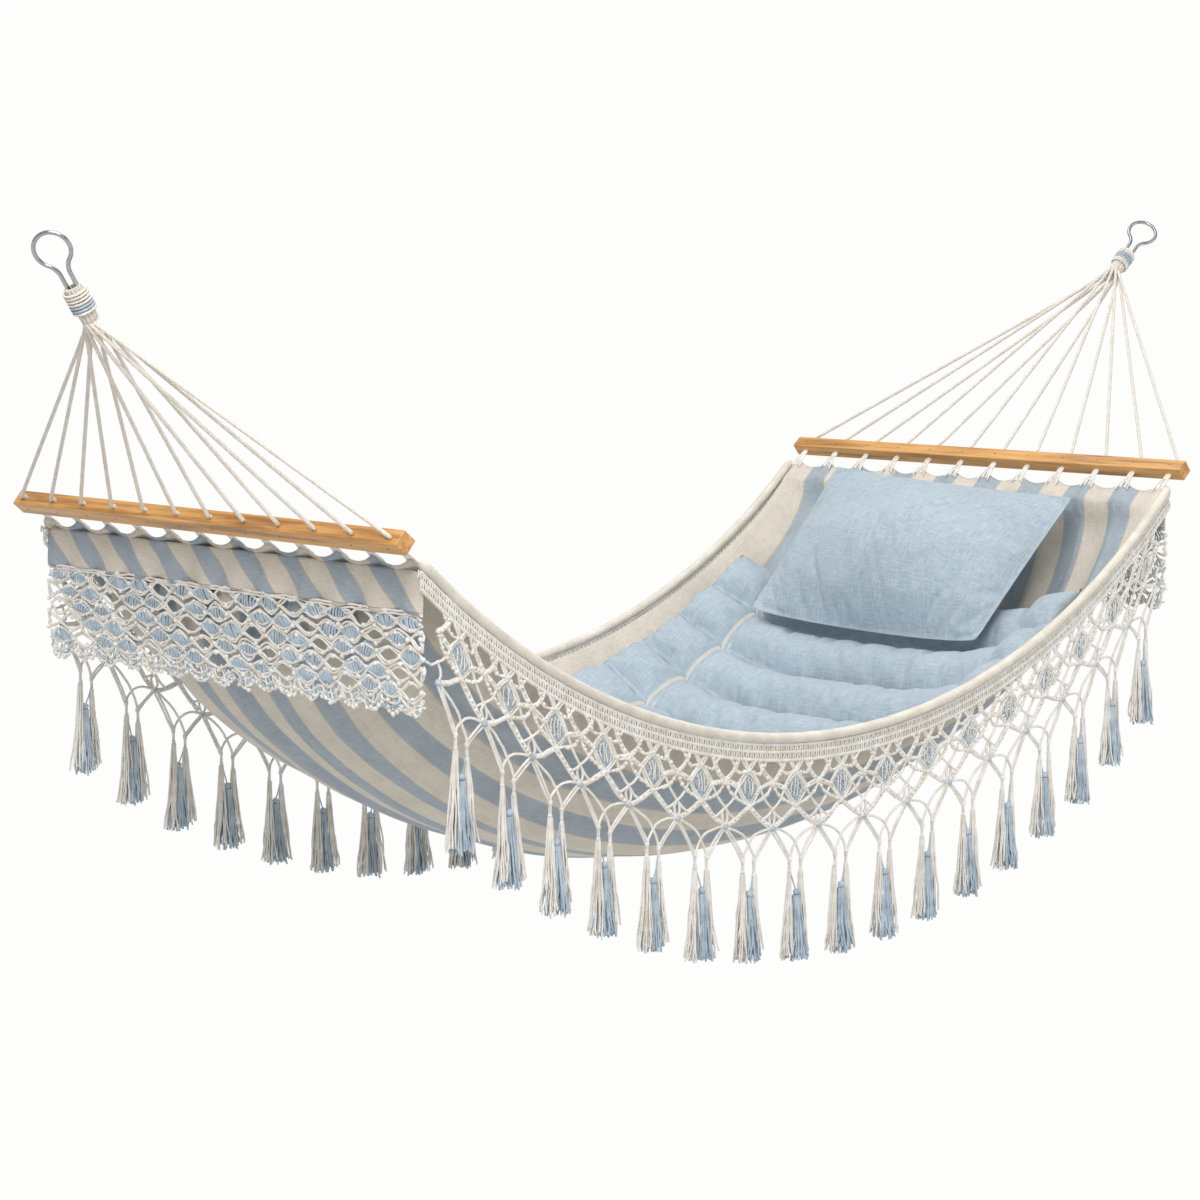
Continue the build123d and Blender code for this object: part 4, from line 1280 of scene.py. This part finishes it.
def build_valance(end, name):
    """A net of doubled cords under the flap, many of its cells filled with slanted blue strands."""
    x, top = flap_corner(end)
    top -= VALANCE_DROP
    columns, row_count = 17, 5
    column = 2 * VALANCE_HALF_WIDTH / columns
    row_high = 0.0262
    chance = random.Random(57 + end)
    lines, knots = [], []

    def spot(place, down, out=0.0, loose=0.0042):
        """A point at a column count from the near side and a row count from the flap."""
        place -= 0.85 * (down / row_count) * math.sin(math.pi * min(max(place / columns, 0.0), 1.0))
        across = -VALANCE_HALF_WIDTH + place * column
        sway = 0.0035 * wander(across * 12, down * 0.7, end * 3)
        high = top - down * row_high + chance.uniform(-loose, loose)
        return Vector(
            (x + end * (0.0012 + out) + sway, across + chance.uniform(-loose, loose), high)
        )

    for line in range(row_count):
        for k in range(columns + line % 2):
            left = k - 0.5 * (line % 2)
            right, centre = left + 1, left + 0.5
            first, last = max(left, 0.0), min(right, float(columns))
            for hand in (-0.035, 0.035):
                if 0 <= centre <= columns:
                    high = [
                        spot(first, line + 0.5 + hand),
                        spot(centre, line + hand),
                        spot(last, line + 0.5 + hand),
                    ]
                    low = [
                        spot(first, line + 0.5 - hand),
                        spot(centre, line + 1 + hand, 0.001),
                        spot(last, line + 0.5 - hand),
                    ]
                    lines += [(high, 0.0020, 0.0), (low, 0.0020, 0.0)]
            for place, down in ((first, line + 0.5), (centre, line + 1.0), (centre, line + 0.04)):
                knots.append((spot(place, down, 0.0014), chance.uniform(0.0028, 0.0042), 0.0))
            if int(left + line / 2 + 30) % 3 == 2 or not 0.4 < centre < columns - 0.4:
                continue
            lean = 0.17 if (k // 2 + line) % 2 else -0.17
            for strand in range(8):
                share = 0.10 + 0.8 * strand / 7
                tall = 0.5 * (1 - abs(2 * share - 1)) + 0.10
                high = spot(left + share - lean / 2, line + 0.5 - tall, -0.001, 0.0012)
                low = spot(left + share + lean / 2, line + 0.5 + tall, -0.001, 0.0012)
                lines.append(
                    ([high, (high + low) / 2 + Vector((end * 0.0030, 0, 0)), low], 0.0019, 1.0)
                )
    for loop in range(columns):
        for strand, rise in ((0, 0.0), (1, 0.22), (2, 0.44)):
            path = []
            for k in range(7):
                share = k / 6
                path.append(
                    spot(loop + share, row_count + 0.50 * math.sin(math.pi * share) + 0.36 - rise)
                )
            lines.append((path, 0.0021, 1.0 if strand == 1 and loop % 3 else 0.0))
        for k in range(6):
            share = (k + 0.5) / 6
            low = row_count + 0.50 * math.sin(math.pi * share) + 0.36
            lines.append(([spot(loop + share, row_count - 0.2), spot(loop + share + 0.04, low)], 0.0018, float(k % 2)))
            knots.append((spot(loop + share, low, 0.001), chance.uniform(0.0028, 0.0038), 0.0))
    for down in (-0.10, 0.06):
        lines.append(
            ([spot(columns * k / 60, down, 0.001, 0.0012) for k in range(61)], 0.0021, 0.0)
        )
    meshes = [
        cord_mesh("valance_cords", lines, Step=0.007, Sides=5, Wander=0.004),
        knot_mesh("valance_knots", knots),
    ]
    mesh = joined_mesh(name + "_macrame_valance", meshes)
    add_piece(name + "_macrame_valance", mesh, "bed", [name + "_valance_net"])


build_valance(-1, "foot")
build_valance(1, "head")


# Quilted pad

PAD_START, PAD_END = HEM_RUN + 2 * STATION_PITCH, HEM_RUN + 16 * STATION_PITCH
PAD_COLUMNS, PAD_LOW_COLUMNS, PAD_ROWS = 150, 30, 280
PAD_HALF_WIDTH = 0.44
PAD_SIDE = 0.11  # width of the pad outside its piping
PAD_CHANNELS = 14


def pad_thickness(reach, across):
    """Thickness of the pad: puffed between its crosswise seams, drawn in at its sides."""
    station = (reach - PAD_START) / STATION_PITCH
    share = station - math.floor(station)
    puff = (1 - abs(2 * share - 1) ** 2.4) ** 0.62
    beyond = abs(across)
    if beyond < PAD_PIPING:
        crest = 0.052 + 0.043 * (1 - (beyond / PAD_PIPING) ** 2)
        seam = 0.030
    else:
        place = (beyond - PAD_PIPING) / PAD_SIDE
        crest = 0.052 * (1 - place) + 0.024 * place + 0.019 * math.sin(math.pi * min(place, 1.0))
        seam = 0.030 * (1 - place) + 0.020 * place
    thick = seam + (crest - seam) * puff
    off = abs(beyond - PAD_PIPING)
    thick -= 0.016 * math.exp(-((off / 0.010) ** 2)) * (0.4 + 0.6 * puff)
    near_seam = math.exp(-min(share, 1 - share) * STATION_PITCH / 0.022)
    thick += 0.0045 * near_seam * wander(across * 30, math.floor(station + 0.5) * 3.1, 1.0)
    pinch = math.cos(math.pi * across / 0.085 + 0.9 * math.floor(station + 0.5)) ** 12
    pinch *= 0.6 + 0.8 * wander(across * 7, station * 0.5, 9.0)
    thick -= 0.0040 * pinch * near_seam
    gather = max(0.0, beyond - 0.385) / 0.055
    thick += 0.0030 * gather * math.sin(
        2 * math.pi * reach / 0.034 + 9.0 * wander(reach * 5, across * 3, 4.0)
    )
    thick += (
        0.0022 * wander(across * 7, reach * 11, 6.0) + 0.0008 * wander(across * 30, reach * 24, 2.0)
    )
    return max(thick, 0.010)


def build_pad():
    wide, long, half = PAD_COLUMNS, PAD_ROWS, PAD_HALF_WIDTH
    rows, places = [], []
    for j in range(long + 1):
        reach = PAD_START + (PAD_END - PAD_START) * j / long
        close = min(1.0, math.sqrt(max(0.0, min(j, long - j) / 7.0)))
        row, place = [], []
        for i in range(wide + 1):
            across = -half + 2 * half * i / wide
            rim = min(1.0, math.sqrt(max(0.0, (half - abs(across)) / 0.012)))
            thick = 0.0105 + (pad_thickness(reach, across) - 0.0105) * close * rim
            row.append(bed_point(reach, across, 0.0018 + thick - belly_at(reach, across)))
            place.append((across, reach))
        for i in range(1, PAD_LOW_COLUMNS):
            across = half - 2 * half * i / PAD_LOW_COLUMNS
            row.append(bed_point(reach, across, 0.0022 - belly_at(reach, across)))
            place.append((across, reach))
        rows.append(row)
        places.append(place)
    mesh = shell_mesh("quilted_pad_cover", rows, blue_quilt, closed=True, uv=places)
    fill_ends(mesh, len(rows[0]))
    return mesh


def simulated(mesh, held, pressure, cap, frames=20, shrink=-0.04):
    """Let a closed cover swell as cloth, pinned where held says, and keep its layout."""
    piece = new_object("cloth_work", mesh)
    before = [vertex.co.copy() for vertex in mesh.vertices]
    group = piece.vertex_groups.new(name="held")
    for index, weight in enumerate(held):
        if weight > 0:
            group.add([index], weight, "REPLACE")
    cloth = piece.modifiers.new("cloth", "CLOTH")
    settings = cloth.settings
    settings.quality = 4
    settings.mass = 0.3
    settings.tension_stiffness = 12
    settings.compression_stiffness = 4
    settings.shear_stiffness = 4
    settings.bending_stiffness = 0.25
    settings.use_pressure = True
    settings.uniform_pressure_force = pressure
    settings.shrink_min = shrink
    settings.vertex_group_mass = "held"
    settings.effector_weights.gravity = 0.0
    cloth.collision_settings.use_collision = False
    scene = bpy.context.scene
    cloth.point_cache.frame_start = 1
    cloth.point_cache.frame_end = frames
    for number in range(1, frames + 1):
        scene.frame_set(number)
    result = piece.evaluated_get(bpy.context.evaluated_depsgraph_get()).to_mesh()
    for vertex, start, moved in zip(mesh.vertices, before, result.vertices):
        step = moved.co - start
        if step.length > cap:
            step *= cap / step.length
        vertex.co = start + step
    scene.frame_set(1)
    bpy.data.objects.remove(piece)
    return mesh


pad_mesh = build_pad()
held = []
for index in range(len(pad_mesh.vertices)):
    row, place = divmod(index, PAD_COLUMNS + PAD_LOW_COLUMNS)
    across = PAD_HALF_WIDTH * (2 * place / PAD_COLUMNS - 1)
    on_seam = row % (PAD_ROWS // PAD_CHANNELS) == 0 or abs(abs(across) - PAD_PIPING) < 0.004
    held.append(1.0 if place > PAD_COLUMNS or on_seam else 0.0)
pad_mesh = simulated(pad_mesh, held, 3.0, 0.006, frames=10)
pad = add_piece("quilted_pad_cover", pad_mesh, "pad", ["quilted_pad"])


# Pillow

PILLOW_HALF_LENGTH = 0.305
PILLOW_FOOT, PILLOW_HEAD = 1.728, 2.088  # along the edge, from the foot bar's axis
FLANGE = 0.008  # width of the flat rim
# Corners: foot or head, near or far, and how far each lies up the bed and across
ASKEW = (
    (-1, 1, 0.026, 0.010), (-1, -1, 0.024, 0.030), (1, 1, 0.018, -0.014), (1, -1, -0.004, -0.030)
)


def build_pillow():
    """Pillow with a flat seamed rim, lying on the pad with its far side a little higher."""
    half, wide, deep = PILLOW_HALF_LENGTH, 92, 58
    foot_reach, head_reach = PILLOW_FOOT, PILLOW_HEAD
    foot = bed_point(foot_reach, 0.0, 0.095 - belly_at(foot_reach, 0.0))
    head = bed_point(head_reach, 0.0, 0.062 - belly_at(head_reach, 0.0))
    way = (head - foot).normalized()
    square = Vector((-way.z, 0, way.x))
    length = (head - foot).length
    points, places, number = [], [], {}
    for layer in (0, 1):
        for j in range(deep + 1):
            for i in range(wide + 1):
                on_rim = i in (0, wide) or j in (0, deep)
                if layer and on_rim:
                    number[1, j, i] = number[0, j, i]
                    continue
                side, run = -1 + 2 * i / wide, -1 + 2 * j / deep
                share = j / deep
                across = side * half
                bow = (belly_at(foot_reach, 0.0) - belly_at(foot_reach, across)) * (1 - share)
                bow += (belly_at(head_reach, 0.0) - belly_at(head_reach, across)) * share
                rim_high = 0.004 + 0.009 * side + 0.026 * share
                corner = 1 - 0.030 * (side * run) ** 8
                along = run * length / 2 * (1 - 0.030 * (1 - side**4) * abs(run) ** 3) * corner
                across *= (1 - 0.028 * (1 - run**4) * abs(side) ** 3) * corner
                inner_side = max(0.0, (1 - abs(side)) * half - FLANGE) / (half - FLANGE)
                inner_run = max(0.0, (1 - abs(run)) * length / 2 - FLANGE) / (length / 2 - FLANGE)
                full = min(1.0, 1.06 * inner_side**0.56 * inner_run**0.62)
                if layer:
                    sag = rim_high + 0.25 * bow + 0.034 * math.exp(-(((run + 0.78) / 0.30) ** 2))
                    high = rim_high - sag * min(1.0, full * 2.6) - 0.0022 * (full < 0.02)
                else:
                    high = rim_high + (0.126 - rim_high) * full + 0.0022 * (full < 0.02)
                crease = 0.0022 * wander(across * 22, along * 22, 2.0) * min(
                    1.0, 4 * full
                ) if not layer else 0.0
                slip, shift = 0.0, 0.0
                for weight_run, weight_side, step, aside in ASKEW:
                    weight = (0.5 + 0.5 * run * weight_run) * (0.5 + 0.5 * side * weight_side)
                    slip += weight * step
                    shift += weight * aside
                along += slip
                across += shift
                middle = (foot + head) / 2 + way * along
                number[layer, j, i] = len(points)
                points.append(
                    Vector((middle.x, across, middle.z)) + square * (0.5 * bow + high + crease)
                )
                places.append((side * half, share * length))
    faces = []
    for j in range(deep):
        for i in range(wide):
            ring = ((j, i), (j, i + 1), (j + 1, i + 1), (j + 1, i))
            faces.append(tuple(number[(0, *spot)] for spot in ring))
            faces.append(tuple(number[(1, *spot)] for spot in ring[::-1]))
    mesh = bpy.data.meshes.new("pillow_cover")
    mesh.from_pydata(points, [], faces)
    mesh.materials.append(pillow_denim)
    mesh.polygons.foreach_set("use_smooth", [True] * len(faces))
    layer = mesh.uv_layers.new(name="cloth")
    for loop in mesh.loops:
        layer.data[loop.index].uv = places[loop.vertex_index]
    work = bmesh.new()
    work.from_mesh(mesh)
    bmesh.ops.recalc_face_normals(work, faces=work.faces)
    work.to_mesh(mesh)
    work.free()
    fixed = {number[1, j, i] for j in range(deep + 1) for i in range(wide + 1)}
    fixed |= {number[0, j, i] for j in range(deep + 1) for i in (1, wide - 1)}
    fixed |= {number[0, j, i] for j in (1, deep - 1) for i in range(wide + 1)}
    return mesh, fixed


pillow_mesh, pillow_fixed = build_pillow()
held = [1.0 if k in pillow_fixed else 0.0 for k in range(len(pillow_mesh.vertices))]
pillow_mesh = simulated(pillow_mesh, held, 4.0, 0.016, shrink=-0.05)
pillow = add_piece("pillow_cover", pillow_mesh, "pillow", ["pillow"])
smoother = pillow.modifiers.new("smooth", "SUBSURF")
smoother.levels = smoother.render_levels = 1


# Room, light and camera


def flat_material(name, colour):
    material, tree, shader = new_material(name, 0.9)
    shader.inputs["Base Color"].default_value = (*colour, 1.0)
    emission = put(tree, "ShaderNodeEmission", {0: WHITE, 1: 1.0})
    seen = put(tree, "ShaderNodeLightPath").outputs
    rays = math_node(tree, "MAXIMUM", seen["Is Camera Ray"], seen["Is Glossy Ray"])
    mix = put(tree, "ShaderNodeMixShader", {0: rays, 1: shader.outputs[0], 2: emission.outputs[0]})
    tree.links.new(mix.outputs[0], tree.nodes["Material Output"].inputs[0])
    return material


def build_room():
    low = cad_box[0][2] - 0.9
    mesh = bpy.data.meshes.new("floor")
    mesh.from_pydata(
        [(-14, -14, low), (12, -14, low), (12, 14, low), (-14, 14, low)], [], [(0, 1, 2, 3)]
    )
    mesh.materials.append(flat_material("pale_floor", (0.80, 0.80, 0.79)))
    floor = new_object("floor", mesh)
    world = bpy.data.worlds.new("soft_room")
    bpy.context.scene.world = world
    world.use_nodes = True
    tree = world.node_tree
    back = tree.nodes["Background"]
    back.inputs[0].default_value = (0.97, 0.985, 1.0, 1.0)
    back.inputs[1].default_value = 0.47
    white = put(tree, "ShaderNodeBackground", {0: WHITE, 1: 1.0})
    seen = put(tree, "ShaderNodeLightPath").outputs["Is Camera Ray"]
    mix = put(tree, "ShaderNodeMixShader", {0: seen, 1: back.outputs[0], 2: white.outputs[0]})
    tree.links.new(mix.outputs[0], tree.nodes["World Output"].inputs[0])


def add_lamp(name, place, target, size, power, colour):
    data = bpy.data.lights.new(name, "AREA")
    data.size = size
    data.energy = power
    data.color = colour
    lamp = new_object(name, data)
    lamp.location = place
    lamp.rotation_euler = (Vector(target) - Vector(place)).to_track_quat("-Z", "Y").to_euler()


def build_camera():
    turn, lift, distance = math.radians(-44.64), math.radians(6.84), 5.445
    target = Vector((-0.103, 0.0, -0.203)) - HEAD_EYE
    back = Vector(
        (math.sin(turn) * math.cos(lift), -math.cos(turn) * math.cos(lift), math.sin(lift))
    )
    data = bpy.data.cameras.new("camera")
    data.sensor_width = 36.0
    data.lens = 36.0 * 3005.5 / 1200.0
    camera = new_object("camera", data)
    camera.location = target + back * distance
    camera.rotation_euler = (-back).to_track_quat("-Z", "Y").to_euler()
    bpy.context.scene.camera = camera


build_room()
middle = (-1.6, 0.0, -0.7)
add_lamp("key", (-4.6, -2.2, 2.6), middle, 2.6, 145.0, (1.0, 0.975, 0.94))
add_lamp("fill", (0.6, -4.2, 0.8), middle, 3.2, 42.0, (1.0, 0.985, 0.96))
add_lamp("top", (-1.4, 0.6, 2.6), middle, 3.0, 55.0, (1.0, 0.99, 0.98))
build_camera()
bpy.context.scene.view_settings.view_transform = "Standard"
